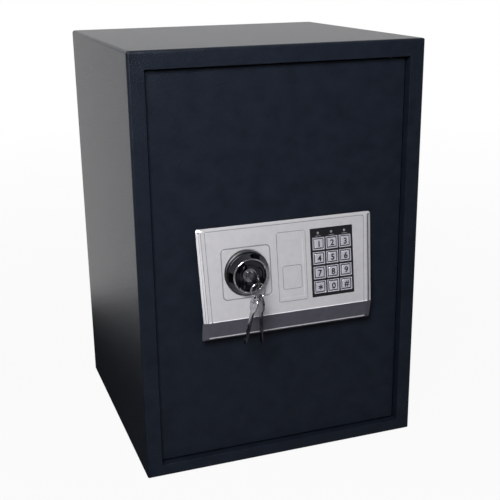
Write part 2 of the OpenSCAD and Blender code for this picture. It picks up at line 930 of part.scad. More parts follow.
// Lead from the circuit board through the door plate to the battery tray
module control_lead() {
    start_y = face_y(lead_z) + 6.5;
    tray_y0 = tray_y1 - tray_depth;
    color(black_plastic)
        tube([
            [lead_x, start_y, lead_z], [lead_x, start_y + 3, lead_z], [lead_x, door_y1 - 2, lead_z],
            [lead_x, door_y1 + 4, lead_z], [lead_x, door_y1 + 8, lead_z - 4],
            [lead_x, door_y1 + 9, lead_z - 10], [lead_x, tray_y0 - 4.5, lead_z - 15],
            [lead_x, tray_y0 - 3, lead_z - 16], [lead_x, tray_y0, lead_z - 16]
        ], 1.6, 8);
}

// Angle bracket that carries the solenoid off the door plate
module solenoid_bracket() {
    x0 = plunger_x - solenoid_w / 2;
    x1 = plunger_x + solenoid_w / 2;
    color(zinc) {
        block(x0, x1, door_y1, door_y1 + 1.5, solenoid_z0 - 1.5, solenoid_z1);
        block(x0, x1, door_y1, plunger_y + solenoid_d / 2, solenoid_z0 - 1.5, solenoid_z0);
    }
}

module solenoid() {
    x0 = plunger_x - solenoid_w / 2;
    y0 = plunger_y - solenoid_d / 2;
    color(steel_bare)
        difference() {
            union() {
                block(x0, x0 + solenoid_w, y0, y0 + solenoid_d, solenoid_z0, solenoid_z0 + 2);
                block(x0, x0 + solenoid_w, y0, y0 + solenoid_d, solenoid_z1 - 2, solenoid_z1);
                block(x0, x0 + 2, y0, y0 + solenoid_d, solenoid_z0, solenoid_z1);
                bar_z(plunger_x, plunger_y, solenoid_z0, solenoid_z1, solenoid_d / 2 - 1);
            }
            bar_z(plunger_x, plunger_y, solenoid_z0 + 4, solenoid_z1 + 1, plunger_r + slide_gap);
        }
}

plunger_tip_z = tail_z0 - seat_gap;
plunger_collar_z = plunger_tip_z - 3;
plunger_draw = 1.5;

// Steel plunger that drops into the carriage's notch once the bolts are out
module plunger() {
    color(zinc) {
        bar_z(plunger_x, plunger_y, solenoid_z0 + 4 + plunger_draw + 1, plunger_tip_z, plunger_r);
        bar_z(plunger_x, plunger_y, plunger_collar_z - 1, plunger_collar_z, plunger_r + 2);
    }
}

// Spring between the solenoid and the plunger's collar
module plunger_spring() {
    turns = 3;
    steps = 12;
    wire = 0.4;
    coil_r = plunger_r + 1;
    low = solenoid_z1 + wire + 0.05;
    high = plunger_collar_z - 1 - wire - 0.05;
    path = [
        for (i = [0 : turns * steps])
            let (a = i * 360 / steps)
                [plunger_x + coil_r * cos(a), plunger_y + coil_r * sin(a),
                    low + (high - low) * i / (turns * steps)]
    ];
    color(steel_bare)
        tube(path, wire, 6);
}

// Folded cover over the lock works, with the battery window, the lid's rails and the bolt holes
module inner_cover() {
    y0 = door_y1;
    lid_x0 = tray_x0 - lid_overlap;
    lid_x1 = tray_x0 + tray_w + lid_overlap;
    rail_z1 = tray_z0 + tray_h + lid_travel;
    color(steel_coat)
        difference() {
            union() {
                plate(cover_left - cover_flange, cover_right + cover_flange, cover_bottom, cover_top,
                    y0, y0 + cover_t, 2);
                difference() {
                    plate(cover_left, cover_right, cover_bottom, cover_top, y0, cover_y1, 3);
                    block(cover_left + cover_t, cover_right - cover_t, y0 - 1, cover_y1 - cover_t,
                        cover_bottom + cover_t, cover_top - cover_t);
                }
                for (x = [lid_x0 - 2, lid_x1])
                    block(x, x + 2, cover_y1 - eps, lid_y1 + slide_gap, tray_z0 - 4, rail_z1);
                block(lid_x0 - 2, lid_x0 + 1.5, lid_y1 + slide_gap, lid_y1 + 1.2, tray_z0 - 4, rail_z1);
                block(lid_x1 - 1.5, lid_x1 + 2, lid_y1 + slide_gap, lid_y1 + 1.2, tray_z0 - 4, rail_z1);
                block(lid_x0 - 2, lid_x1 + 2, cover_y1 - eps, lid_y1, tray_z0 - 6, tray_z0 - 4);
                bar_y(button_x, button_z, cover_y1 - eps, cover_y1 + 1.2, 7.5);
            }
            block(cover_left + cover_t, cover_right - cover_t, y0 - 1, y0 + cover_t + 1,
                cover_bottom + cover_t, cover_top - cover_t);
            for (x = stud_xs, z = stud_zs)
                bar_y(x, z, y0 - 1, y0 + cover_t + 1, stud_r + 0.3);
            for (z = bolt_zs)
                bar_x(cover_left - 1, cover_left + cover_t + 1, bolt_y, z, bolt_d / 2 + 0.6);
            block(tray_x0 + 1, tray_x0 + tray_w - 1, cover_y1 - cover_t - 1, cover_y1 + 1,
                tray_z0 + 1, tray_z0 + tray_h - 1);
            bar_y(button_x, button_z, cover_y1 - cover_t - 1, cover_y1 + 2, button_r + slide_gap);
        }
}

lid_y0 = cover_y1 + slide_gap;
lid_y1 = lid_y0 + lid_t;
button_r = 4;

// Studs welded to the door plate, each with a nut that holds the cover
module cover_studs() {
    nut_h = 3;
    color(zinc)
        for (x = stud_xs, z = stud_zs) {
            bar_y(x, z, door_y1, door_y1 + cover_t + nut_h + 2, stud_r);
            difference() {
                translate([x, door_y1 + cover_t + nut_h, z])
                    rotate([90, 0, 0])
                        cylinder(r = stud_r * 2, h = nut_h, $fn = 6);
                bar_y(x, z, door_y1, door_y1 + cover_t + nut_h + 1, stud_r + eps);
            }
        }
}

// Open tray for four cells, flanged behind the cover's window
module battery_tray() {
    x1 = tray_x0 + tray_w;
    z1 = tray_z0 + tray_h;
    y0 = tray_y1 - tray_depth;
    color(black_plastic)
        difference() {
            union() {
                block(tray_x0, x1, y0, tray_y1, tray_z0, z1);
                block(tray_x0 - 2, x1 + 2, tray_y1 - 1.2, tray_y1, tray_z0 - 2, z1 + 2);
            }
            block(tray_x0 + 1.5, x1 - 1.5, y0 + 1.5, tray_y1 + 1, tray_z0 + 1.5, z1 - 1.5);
        }
}

function cell_z(i) = tray_z0 + 2 + (i + 0.5) * (cell_d + 0.8);
cell_y = tray_y1 - tray_depth + 1.5 + seat_gap + cell_d / 2;
cell_x0 = tray_x0 + (tray_w - cell_l) / 2;

// Four cells, laid head to tail
module batteries() {
    nub = 1.2;
    color("#c08a3a")
        for (i = [0 : 3]) {
            flip = i % 2;
            bar_x(cell_x0 + flip * nub, cell_x0 + cell_l - (1 - flip) * nub, cell_y, cell_z(i), cell_d / 2);
            nub_x = flip == 0 ? cell_x0 + cell_l - nub - eps : cell_x0;
            bar_x(nub_x, nub_x + nub + eps, cell_y, cell_z(i), 2.7);
        }
}

// Sprung contact plates at both ends of the cells
module battery_contacts() {
    reach = (tray_w - cell_l) / 2 - 1.5;
    color(zinc)
        for (i = [0 : 3]) {
            for (x = [tray_x0 + 1.5, tray_x0 + tray_w - 2])
                block(x, x + 0.5, cell_y - 5, cell_y + 5, cell_z(i) - 5, cell_z(i) + 5);
            bar_x(tray_x0 + 1.9, tray_x0 + 1.5 + reach - seat_gap, cell_y, cell_z(i), 2);
            bar_x(tray_x0 + tray_w - 1.5 - reach + seat_gap, tray_x0 + tray_w - 1.9, cell_y, cell_z(i), 2);
        }
}

// Lid that slides up in the rails to uncover the cells
module battery_cover() {
    x0 = tray_x0 - lid_overlap + fit_gap;
    x1 = tray_x0 + tray_w + lid_overlap - fit_gap;
    z0 = tray_z0 - 4 + seat_gap;
    z1 = tray_z0 + tray_h + 3;
    color(black_plastic) {
        block(x0, x1, lid_y0, lid_y1, z0, z1);
        for (i = [0 : 3])
            block(x0 + 20, x1 - 20, lid_y1 - eps, lid_y1 + 1, z1 - 8 - 4 * i, z1 - 6 - 4 * i);
    }
}

button_travel = 1.5;

// Push switch behind the reset button
module reset_switch() {
    switch_y1 = cover_y1 - cover_t - 1.2 - button_travel - seat_gap;
    color(black_plastic) {
        block(button_x - 6, button_x + 6, door_y1, switch_y1, button_z - 6, button_z + 6);
    }
}

module reset_button() {
    color(red_plastic) {
        bar_y(button_x, button_z, cover_y1 - cover_t - 1, cover_y1 + 1, button_r);
        bar_y(button_x, button_z, cover_y1 - cover_t - 1.2, cover_y1 - cover_t - 0.2, button_r + 1.5);
    }
}

// Revolves a profile, drawn as radius and distance out from the door, round the knob's axis
module turned(y) {
    translate([knob_x, y, knob_z])
        rotate([90, 0, 0])
            rotate_extrude($fn = 96)
                children();
}

// Black skirt in the panel's well, with the hub that reaches the door
module knob_skirt() {
    depth = skirt_y - skirt_front_y;
    hub = door_y0 - seat_gap - skirt_y;
    bore = barrel_d / 2 + eps;
    color(black_plastic)
        turned(skirt_y) {
            translate([bore, -hub])
                square([hub_r - bore, hub + 1]);
            translate([bore, 0])
                square([knob_d / 2 - bore, depth]);
        }
}

// Dark chrome cap: a sloping band, a fine bead and a dish with a step round the lock
module knob_cap() {
    rise = skirt_front_y - knob_front_y;
    cap_r = knob_d / 2 - 1.2;
    crest_r = knob_d / 2 - 6.6;
    bore = barrel_d / 2 + eps;
    bead = 0.9;
    dish = 4.2;
    color(dark_chrome)
        turned(skirt_front_y) {
            polygon([
                [bore, 0], [cap_r, 0], [cap_r, rise * 0.3], [cap_r - 0.8, rise * 0.4],
                [crest_r + bead + 0.5, rise - 1.6], [crest_r + bead, rise - bead],
                [crest_r - bead, rise - bead], [crest_r - bead - 1.2, rise - 2.6],
                [bore + 4.5, rise - dish], [bore + 4, rise - dish + 0.6],
                [bore, rise - dish + 0.6]
            ]);
            translate([crest_r, rise - bead])
                circle(bead);
        }
}

// Round barrel of the key lock, which turns with the knob
module lock_barrel() {
    color(steel_bare)
        difference() {
            bar_y(knob_x, knob_z, plug_face_y + 0.3, barrel_back_y, barrel_d / 2);
            bar_y(knob_x, knob_z, plug_face_y - 1, barrel_back_y - 2, plug_d / 2 + running_gap);
        }
}

module spindle() {
    color(zinc)
        difference() {
            bar_y(knob_x, knob_z, barrel_back_y, cam_y1 + 4, spindle_d / 2);
            difference() {
                bar_y(knob_x, knob_z, cam_y1 + 1, cam_y1 + 2, spindle_d / 2 + 1);
                bar_y(knob_x, knob_z, cam_y1 + 0.5, cam_y1 + 2.5, spindle_d / 2 - 0.8);
            }
        }
}

// Disc on the spindle, with the crank pin that drives the carriage
module drive_cam() {
    rest = crank_turn / 2;
    pin_x = knob_x + crank_r * sin(rest);
    pin_z = knob_z + crank_r * cos(rest);
    color(steel_bare)
        difference() {
            union() {
                bar_y(knob_x, knob_z, cam_y0, cam_y1, crank_r + crank_pin_r + 2);
                bar_y(pin_x, pin_z, carriage_y0 - 1.5, cam_y0 + eps, crank_pin_r);
            }
            bar_y(knob_x, knob_z, cam_y0 - 1, cam_y1 + 1, spindle_d / 2 + eps);
        }
}

module spindle_clip() {
    color(steel_bare)
        difference() {
            bar_y(knob_x, knob_z, cam_y1 + 1.05, cam_y1 + 1.95, spindle_d / 2 + 2);
            bar_y(knob_x, knob_z, cam_y1, cam_y1 + 3, spindle_d / 2 - 0.75);
            block(knob_x - 2, knob_x + 2, cam_y1, cam_y1 + 3, knob_z - spindle_d, knob_z);
        }
}

module lock_plug() {
    color(plated_brass)
        difference() {
            bar_y(knob_x, knob_z, plug_face_y, plug_back_y, plug_d / 2);
            block(knob_x - flat_key_t / 2 - slide_gap, knob_x + flat_key_t / 2 + slide_gap,
                plug_face_y - 1, plug_back_y + 1, knob_z - keyway_w / 2 - slide_gap,
                knob_z + keyway_w / 2 + slide_gap);
        }
}

// Flat key drawn along its length from the bow's centre, with its cuts on one edge
module key_shape() {
    blade_w = keyway_w;
    shoulder = flat_key_l - 30;
    cut_depths = [1.2, 2.2, 0.9, 1.8, 1.3];
    difference() {
        union() {
            circle(bow_d / 2);
            translate([bow_d / 2 - 3, -blade_w / 2])
                square([shoulder - bow_d / 2 + 3, blade_w]);
            polygon([
                [shoulder - 1, -blade_w / 2], [flat_key_l - 3, -blade_w / 2], [flat_key_l, -1],
                [flat_key_l, 1], [flat_key_l - 3, blade_w / 2 - 1], [shoulder - 1, blade_w / 2 - 1]
            ]);
        }
        translate([-bow_hole_u, 0])
            circle(bow_hole_r);
        for (i = [0 : len(cut_depths) - 1])
            translate([shoulder + 8 + 3.6 * i, blade_w / 2 - 1 - cut_depths[i]])
                polygon([[0, 0], [1.6, 3], [-1.6, 3]]);
    }
}

// Key standing upright in the plug, its tip pointing into the door
module inserted_key() {
    color(zinc)
        translate([knob_x - flat_key_t / 2, bow_y, knob_z])
            rotate([90, 0, 90])
                linear_extrude(flat_key_t)
                    key_shape();
}

// Split ring: two turns of wire side by side
module key_ring() {
    color(steel_bare)
        translate([knob_x, ring_y, ring_z])
            rotate([90, 0, 0])
                rotate_extrude($fn = 64)
                    for (z = [-0.5, 0.5])
                        translate([ring_r, z])
                            circle(wire_r, $fn = 24);
}

// Spare key that hangs from the ring and leans a little sideways
module spare_key(side, lean) {
    translate([knob_x + side * spare_offset, ring_y, spare_z])
        rotate([0, lean, 0])
            translate([-flat_key_t / 2, 0, -hang_drop - bow_hole_u])
                rotate([0, 90, 0])
                    linear_extrude(flat_key_t)
                        key_shape();
}

module spare_key_left() {
    color(zinc)
        spare_key(-1, 14);
}

module spare_key_right() {
    color(zinc)
        spare_key(1, -0.5);
}

// Plate that carries both bolts, with the crank slot, the guide slots and the plunger's notch
module bolt_carriage() {
    slot_r = post_r + fit_gap;
    pin_x = knob_x + crank_r * sin(crank_turn / 2);
    pin_low = crank_r * cos(crank_turn / 2);
    z0 = bolt_zs[0] - carriage_margin;
    z1 = bolt_zs[1] + carriage_margin;
    color(zinc)
        difference() {
            union() {
                plate(flange_x, carriage_right, z0, z1, carriage_y0, carriage_y1, 4);
                block(carriage_right - 5, plunger_x + bolt_throw + tail_end, carriage_y0, carriage_y1,
                    tail_z0, tail_z1);
                block(flange_x, flange_x + carriage_t, bolt_y - bolt_d / 2, carriage_y1, z0 + 4, z1 - 4);
            }
            upright(carriage_y0 - 1, carriage_y1 + 1) {
                translate([knob_x, knob_z])
                    slot_outline(bolt_throw, spindle_d / 2 + 0.6);
                for (z = post_zs)
                    translate([post_x, z])
                        slot_outline(bolt_throw, slot_r);
                translate([pin_x - crank_pin_r - crank_slack, knob_z])
                    square([2 * (crank_pin_r + crank_slack), pin_low + 0.1]);
                translate([pin_x, knob_z + pin_low + 0.1])
                    rotate(90)
                        slot_outline(crank_r - pin_low, crank_pin_r + crank_slack);
            }
            block(plunger_x + bolt_throw - plunger_r - 1, plunger_x + bolt_throw + plunger_r + 1,
                carriage_y0 - 1, carriage_y1 + 1, tail_z0 - 1, tail_z0 + 5);
        }
}

module bolts() {
    color(zinc)
        for (z = bolt_zs) {
            bar_x(bolt_rest_x + 1, flange_x, bolt_y, z, bolt_d / 2);
            translate([bolt_rest_x + 1, bolt_y, z])
                rotate([0, -90, 0])
                    cylinder(r1 = bolt_d / 2, r2 = bolt_d / 2 - 1, h = 1);
        }
}

// Screws that hold the bolts to the carriage's flange
module bolt_screws() {
    color(steel_bare)
        for (z = bolt_zs)
            bar_x(flange_x + carriage_t, flange_x + carriage_t + 3, bolt_y, z, 5);
}

cabinet_wrap();
back_panel();
door_stop();
hinge_sockets();
floor_mat();
shelf_rails();
shelf();
door_plate();
hinge_bar();
hinge_pins();
spindle_bush();
guide_posts();
bolt_guides();
panel_housing();
panel_strip();
centre_plate();
keypad_bezel();
indicator_lights();
key_mat();
circuit_board();
panel_screws();
control_lead();
solenoid_bracket();
solenoid();
plunger();
plunger_spring();
inner_cover();
cover_studs();
battery_tray();
batteries();
battery_contacts();
battery_cover();
reset_switch();
reset_button();
knob_skirt();
knob_cap();
lock_barrel();
spindle();
drive_cam();
spindle_clip();
lock_plug();
inserted_key();
key_ring();
spare_key_left();
spare_key_right();
bolt_carriage();
bolts();
bolt_screws();
pad_key(-1, 0);  // key_1
pad_key(0, 0);  // key_2
pad_key(1, 0);  // key_3
pad_key(-1, 1);  // key_4
pad_key(0, 1);  // key_5
pad_key(1, 1);  // key_6
pad_key(-1, 2);  // key_7
pad_key(0, 2);  // key_8
pad_key(1, 2);  // key_9
pad_key(-1, 3);  // key_star
pad_key(0, 3);  // key_0
pad_key(1, 3);  // key_hash
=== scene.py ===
# %% [markdown]
# # Electronic home safe
# This lesson dresses a finished mechanical model of a steel home safe. The
# solids and their joints come from the CAD frame. Blender adds the look of each
# surface: the coat on the steel, the paint on the moulded panel, the plating on
# the knob, and the small edges that catch the light.
# The frame is loaded first. The dressed model has to stay inside it.

# %% Load the frame
import json
import math

import bpy
from mathutils import Matrix, Vector

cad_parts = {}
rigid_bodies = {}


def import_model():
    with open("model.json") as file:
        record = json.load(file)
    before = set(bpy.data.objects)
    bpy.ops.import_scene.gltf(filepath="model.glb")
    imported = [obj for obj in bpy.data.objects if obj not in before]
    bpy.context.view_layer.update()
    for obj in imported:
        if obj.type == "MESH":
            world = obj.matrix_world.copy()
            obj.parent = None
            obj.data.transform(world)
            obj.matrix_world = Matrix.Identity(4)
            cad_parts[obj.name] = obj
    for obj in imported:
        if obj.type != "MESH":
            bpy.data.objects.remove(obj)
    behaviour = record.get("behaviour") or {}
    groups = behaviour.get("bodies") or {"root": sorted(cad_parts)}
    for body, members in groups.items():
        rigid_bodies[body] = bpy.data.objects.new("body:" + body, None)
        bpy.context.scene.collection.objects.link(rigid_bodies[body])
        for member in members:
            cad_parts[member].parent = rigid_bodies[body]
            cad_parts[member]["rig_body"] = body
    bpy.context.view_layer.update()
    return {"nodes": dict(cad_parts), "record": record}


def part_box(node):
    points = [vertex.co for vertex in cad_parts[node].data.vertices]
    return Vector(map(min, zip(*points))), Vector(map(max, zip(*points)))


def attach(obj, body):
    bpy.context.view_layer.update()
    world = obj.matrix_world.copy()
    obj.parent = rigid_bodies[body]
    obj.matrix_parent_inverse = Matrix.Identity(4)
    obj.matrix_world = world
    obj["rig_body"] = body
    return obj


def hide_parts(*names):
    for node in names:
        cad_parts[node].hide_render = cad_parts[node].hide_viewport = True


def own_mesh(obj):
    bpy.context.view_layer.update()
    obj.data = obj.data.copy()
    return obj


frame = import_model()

MM = 0.001
nodes = frame["nodes"]

# %% [markdown]
# ## Selecting
# Operators act on whatever is selected, and the loaded frame is selected all
# over. So each step starts by selecting only its own object. By hand, faces are
# clicked. In code they are found by a test of their middle and their normal,
# which picks the same faces in every run. The last helper moves the place, the
# turn and the size of an object into its mesh, because a finished piece sits at
# the origin.

# %% Selection helpers
def only(piece):
    """Selects one object and makes it the active one."""
    bpy.ops.object.select_all(action="DESELECT")
    piece.select_set(True)
    bpy.context.view_layer.objects.active = piece


def edit_all(piece):
    """Opens edit mode with the whole mesh selected."""
    only(piece)
    bpy.ops.object.mode_set(mode="EDIT")
    bpy.ops.mesh.select_all(action="SELECT")


def pick(piece, test):
    """Selects the faces whose middle and normal pass the test, and leaves edit mode open."""
    only(piece)
    bpy.ops.object.mode_set(mode="EDIT")
    bpy.ops.mesh.select_mode(type="FACE")
    bpy.ops.mesh.select_all(action="DESELECT")
    bpy.ops.object.mode_set(mode="OBJECT")
    for face in piece.data.polygons:
        face.select = test(face.center, face.normal)
    bpy.ops.object.mode_set(mode="EDIT")


def leave():
    """Closes edit mode."""
    bpy.ops.object.mode_set(mode="OBJECT")


def settle(piece):
    """Moves the object's place, turn and size into its mesh."""
    only(piece)
    bpy.ops.object.transform_apply(location=True, rotation=True, scale=True)


only(nodes["cabinet_wrap"])
print("selected", len(bpy.context.selected_objects))

# %% [markdown]
# ## Camera
# The camera stands where the photographer stood. It could be placed by eye, but
# then no colour or edge could be compared with the photograph point by point. So
# seven corners of the cabinet fixed its place, its three angles and its lens, and
# the render lines up without any shift of the lens.

# %% Camera
CAMERA_PLACE = (-0.37816, -1.10323, 0.58712)
AZIMUTH, ELEVATION, ROLL = math.radians(-19.68), math.radians(17.62), math.radians(-0.74)
SENSOR_WIDTH, LENS = 36, 65.684
CLIP_NEAR, CLIP_FAR = 0.05, 50


def camera_axes():
    """The camera's own right, up and view directions."""
    view = Vector((
        -math.sin(AZIMUTH) * math.cos(ELEVATION),
        math.cos(AZIMUTH) * math.cos(ELEVATION),
        -math.sin(ELEVATION),
    ))
    level = view.cross(Vector((0, 0, 1))).normalized()
    upright = level.cross(view)
    right = level * math.cos(ROLL) + upright * math.sin(ROLL)
    up = upright * math.cos(ROLL) - level * math.sin(ROLL)
    return right, up, view


def photo_camera():
    data = bpy.data.cameras.new("photo_camera")
    data.sensor_width, data.lens = SENSOR_WIDTH, LENS
    data.clip_start, data.clip_end = CLIP_NEAR, CLIP_FAR
    camera = bpy.data.objects.new("photo_camera", data)
    right, up, view = camera_axes()
    camera.matrix_world = Matrix((
        (right.x, up.x, -view.x, CAMERA_PLACE[0]),
        (right.y, up.y, -view.y, CAMERA_PLACE[1]),
        (right.z, up.z, -view.z, CAMERA_PLACE[2]),
        (0, 0, 0, 1),
    ))
    bpy.context.scene.collection.objects.link(camera)
    bpy.context.scene.camera = camera
    return camera


camera = photo_camera()
print("camera", [round(c, 3) for c in camera.location])

# %% [markdown]
# ## Nodes
# The floor, the room and every finish are small node trees. Wired one by one they
# would take pages, and the same few groups of nodes return all the time. So these
# helpers add a node with its values, do a sum with sockets, and clear a tree.

# %% Node helpers
def node(tree, kind, **inputs):
    """A node of a kind, with the values of its named inputs."""
    n = tree.nodes.new(kind)
    for key, value in inputs.items():
        n.inputs[key.replace("_", " ")].default_value = value
    return n


def math_node(tree, operation, first, second=0):
    """A Math node whose inputs are numbers or the sockets of other nodes."""
    n = tree.nodes.new("ShaderNodeMath")
    n.operation = operation
    for socket, value in zip(n.inputs, (first, second)):
        if isinstance(value, (int, float)):
            socket.default_value = value
        else:
            tree.links.new(value, socket)
    return n.outputs[0]


def cleared_tree(owner):
    """The node tree of a material or a world, with nothing in it."""
    owner.use_nodes = True
    owner.node_tree.nodes.clear()
    return owner.node_tree


print("helpers", [f.__name__ for f in (node, math_node, cleared_tree)])

# %% [markdown]
# ## Rays and mixes
# The floor and the room look different to different kinds of rays: those of the
# camera, and those of a mirror or a glass. One helper gives both kinds as sockets
# that are 0 or 1. The others turn a range of values into a smooth rise from 0 to
# 1, and mix two shaders by such a value.

# %% Ray and mix helpers
def rise(tree, value, start, end, foot=0):
    """Goes from foot to 1 while the value goes from start to end."""
    n = node(tree, "ShaderNodeMapRange", From_Min=start, From_Max=end, To_Min=foot)
    tree.links.new(value, n.inputs["Value"])
    return n.outputs["Result"]


def mixed(tree, amount, first, second):
    """Shows the second shader by the amount, and the first one by the rest."""
    n = tree.nodes.new("ShaderNodeMixShader")
    for socket, value in zip(n.inputs, (amount, first, second)):
        tree.links.new(value, socket)
    return n.outputs[0]


def ray_kinds(tree):
    """Two sockets: 1 for the rays of a mirror or a glass, and 1 for those of the camera."""
    path = tree.nodes.new("ShaderNodeLightPath").outputs
    mirror = math_node(tree, "ADD", path["Is Glossy Ray"], path["Is Transmission Ray"])
    return mirror, path["Is Camera Ray"]


print("helpers", [f.__name__ for f in (rise, mixed, ray_kinds)])

# %% [markdown]
# ## Zones of the floor
# A pale floor carries the safe and its shadow. A white floor with more light on
# it would also wash out the dark coat, so the floor is white only for the rays
# that should see it white. The camera sees it so all round. A mirror sees it so
# behind the safe, because the dark top and side then pick up a sheen of it at a
# low angle. Close to the safe the floor is seen in mirrors as it is lit, with the
# shadow. On the left of the safe a near black patch is painted into the floor for
# mirrors alone, a painted shade in the reflection, so that the left side turns
# almost black towards its foot. Under the safe the floor stays as it is lit for
# the camera too, so that the anchor holes look dark.

# %% Floor zones
MIRROR_DISTANCE, MIRROR_DEPTH = (0.47, 0.57), (-0.1, 0.3)
PALE_DISTANCE, PALE = (0.4, 2.4), 0.94
COVER_X, COVER_Y, MIRROR_SHADE_Y = 0.17, 0.16, -0.2


def outside(tree, value, limit):
    """Is 1 where the value is more than the limit away from 0."""
    return math_node(tree, "GREATER_THAN", math_node(tree, "ABSOLUTE", value), limit)


def floor_zones(tree):
    """How white the floor is, and where a painted shade lies in the floor for mirrors alone."""
    mirror, camera_ray = ray_kinds(tree)
    place = tree.nodes.new("ShaderNodeTexCoord").outputs["Object"]
    split = tree.nodes.new("ShaderNodeSeparateXYZ")
    length = tree.nodes.new("ShaderNodeVectorMath")
    length.operation = "LENGTH"
    for n in (split, length):
        tree.links.new(place, n.inputs[0])
    x, y, distance = split.outputs["X"], split.outputs["Y"], length.outputs["Value"]
    far, behind = rise(tree, distance, *MIRROR_DISTANCE), rise(tree, y, *MIRROR_DEPTH)
    in_mirrors = math_node(tree, "MULTIPLY", mirror, math_node(tree, "MULTIPLY", far, behind))
    uncovered = math_node(tree, "MAXIMUM", outside(tree, x, COVER_X), outside(tree, y, COVER_Y))
    pale = math_node(tree, "MULTIPLY", rise(tree, distance, *PALE_DISTANCE, PALE), uncovered)
    white = math_node(tree, "ADD", in_mirrors, math_node(tree, "MULTIPLY", camera_ray, pale))
    left = math_node(tree, "LESS_THAN", x, -COVER_X)
    alongside = math_node(tree, "MULTIPLY", left, math_node(tree, "GREATER_THAN", y, MIRROR_SHADE_Y))
    return white, math_node(tree, "MULTIPLY", mirror, alongside)


print("white in mirrors beyond", MIRROR_DISTANCE, "and behind", MIRROR_DEPTH)

# %% [markdown]
# ## Floor
# The floor is one large plane, half a millimetre under the safe so that the two
# never share a surface. Its paint mixes a glow, a pale chalk and a near black
# chalk by the zones; the near black one is painted shade, seen in mirrors alone.

# %% Floor
FLOOR_SIZE, FLOOR_LEVEL = 24, -0.0005
# The near black chalk is painted shade, seen in mirrors alone beside the safe.
CHALK, MIRROR_SHADE_COLOUR = (0.26, 0.26, 0.27, 1), (0.03, 0.03, 0.03, 1)


def floor_paint():
    paint = bpy.data.materials.new("pale_floor")
    tree = cleared_tree(paint)
    white, mirror_shade_zone = floor_zones(tree)
    chalk = node(tree, "ShaderNodeBsdfDiffuse", Color=CHALK).outputs[0]
    mirror_shade_chalk = node(tree, "ShaderNodeBsdfDiffuse", Color=MIRROR_SHADE_COLOUR).outputs[0]
    glow = node(tree, "ShaderNodeEmission", Strength=1).outputs[0]
    out = tree.nodes.new("ShaderNodeOutputMaterial")
    tree.links.new(
        mixed(tree, white, mixed(tree, mirror_shade_zone, chalk, mirror_shade_chalk), glow), out.inputs["Surface"]
    )
    return paint


bpy.ops.object.select_all(action="DESELECT")
bpy.ops.mesh.primitive_plane_add(size=FLOOR_SIZE, location=(0, 0, FLOOR_LEVEL))
floor = bpy.context.object
floor.name = "studio_floor"
floor.data.materials.append(floor_paint())
print("floor", floor.name, [round(c) for c in floor.dimensions])

# %% [markdown]
# ## Room
# The background is white by the kind of ray that meets it: for the camera all
# round, and for a mirror or a glass only behind the safe. In front of the safe
# the room is dim, as it is behind a camera, so the dark coat keeps its depth on
# the door.

# %% World
WHITE, DIM_ROOM, DIM_STRENGTH = (1, 1, 1, 1), (0.94, 0.96, 1, 1), 0.09
ROOM_DEPTH = (-0.25, 0.15)


def white_room():
    world = bpy.data.worlds.new("white_room")
    tree = cleared_tree(world)
    mirror, camera_ray = ray_kinds(tree)
    split = tree.nodes.new("ShaderNodeSeparateXYZ")
    tree.links.new(tree.nodes.new("ShaderNodeTexCoord").outputs["Generated"], split.inputs[0])
    seen = math_node(tree, "MULTIPLY", mirror, rise(tree, split.outputs["Y"], *ROOM_DEPTH))
    room = node(tree, "ShaderNodeBackground", Color=DIM_ROOM, Strength=DIM_STRENGTH).outputs[0]
    white = node(tree, "ShaderNodeBackground", Color=WHITE, Strength=1).outputs[0]
    out = tree.nodes.new("ShaderNodeOutputWorld")
    tree.links.new(
        mixed(tree, math_node(tree, "ADD", seen, camera_ray), room, white), out.inputs["Surface"]
    )
    return world


bpy.context.scene.world = white_room()
bpy.context.scene.view_settings.view_transform = "Standard"
print("world", bpy.context.scene.world.name)

# %% [markdown]
# ## Lamps
# The photograph has soft light from the upper left and no hard shadow. A lamp
# that is a square of some size gives that, where a point or a sun would not.
# There are three: a key from the upper left front, a weak, larger fill from the
# right, and one behind. Their strength is set so that a surface that faces the
# key shows its colour about as it is written. The top and the left side need no
# lamp of their own, because they are seen at a low angle and pick up the white
# room behind. The lamp behind hangs lower than the top, so that it lights the
# back and the right side alone.

# %% Lamps
AIM = (0, 0, 0.25)


def lamp(name, place, size, power):
    """A square lamp that looks at the middle of the safe."""
    data = bpy.data.lights.new(name, "AREA")
    data.shape = "SQUARE"
    data.size, data.energy = size, power
    o = bpy.data.objects.new(name, data)
    o.location = place
    o.rotation_mode = "QUATERNION"
    o.rotation_quaternion = (Vector(AIM) - Vector(place)).to_track_quat("-Z", "Y")
    bpy.context.scene.collection.objects.link(o)


lamp("key_lamp", (-0.5, -1.0, 1.0), 0.42, 26.5)
lamp("fill_lamp", (1.5, -1.6, 1.1), 1.2, 2)
lamp("back_lamp", (0.8, 1.5, 0.24), 0.44, 6)

# %% [markdown]
# ## Finishes
# A real surface is never one flat colour. Pictures could carry its changes, but
# they need unwrapping and show their seams. So every finish reads Object
# coordinates: a broad noise lets the colour drift between two tones, and a fine
# noise varies the roughness and raises the grain of the surface. Colours are
# written as a picture shows them and are turned into linear ones here.

# %% Colour helper
def srgb(r, g, b):
    """A colour as a picture shows it, from 0 to 255, as the linear colour of a shader."""
    def linear(v):
        v /= 255
        return v / 12.92 if v <= 0.04045 else ((v + 0.055) / 1.055) ** 2.4
    return (linear(r), linear(g), linear(b), 1)


print("mid grey in a shader", round(srgb(128, 128, 128)[0], 3))

# %% [markdown]
# ## One helper for all finishes
# All the finishes share one node tree, with other numbers in it. So one function
# builds the tree, and a finish is then a single line that is easy to compare with
# its neighbours.

# %% Finish helper
DRIFT_SPAN, DRIFT_DETAIL, DRIFT_ROUGHNESS = 12, 4, 0.6
FINE_DETAIL, FINE_ROUGHNESS, RELIEF = 3, 0.55, 0.6
TONE_STOPS, SHINE_SPREAD = (0.3, 0.7), (0.85, 1.15)
finishes = {}


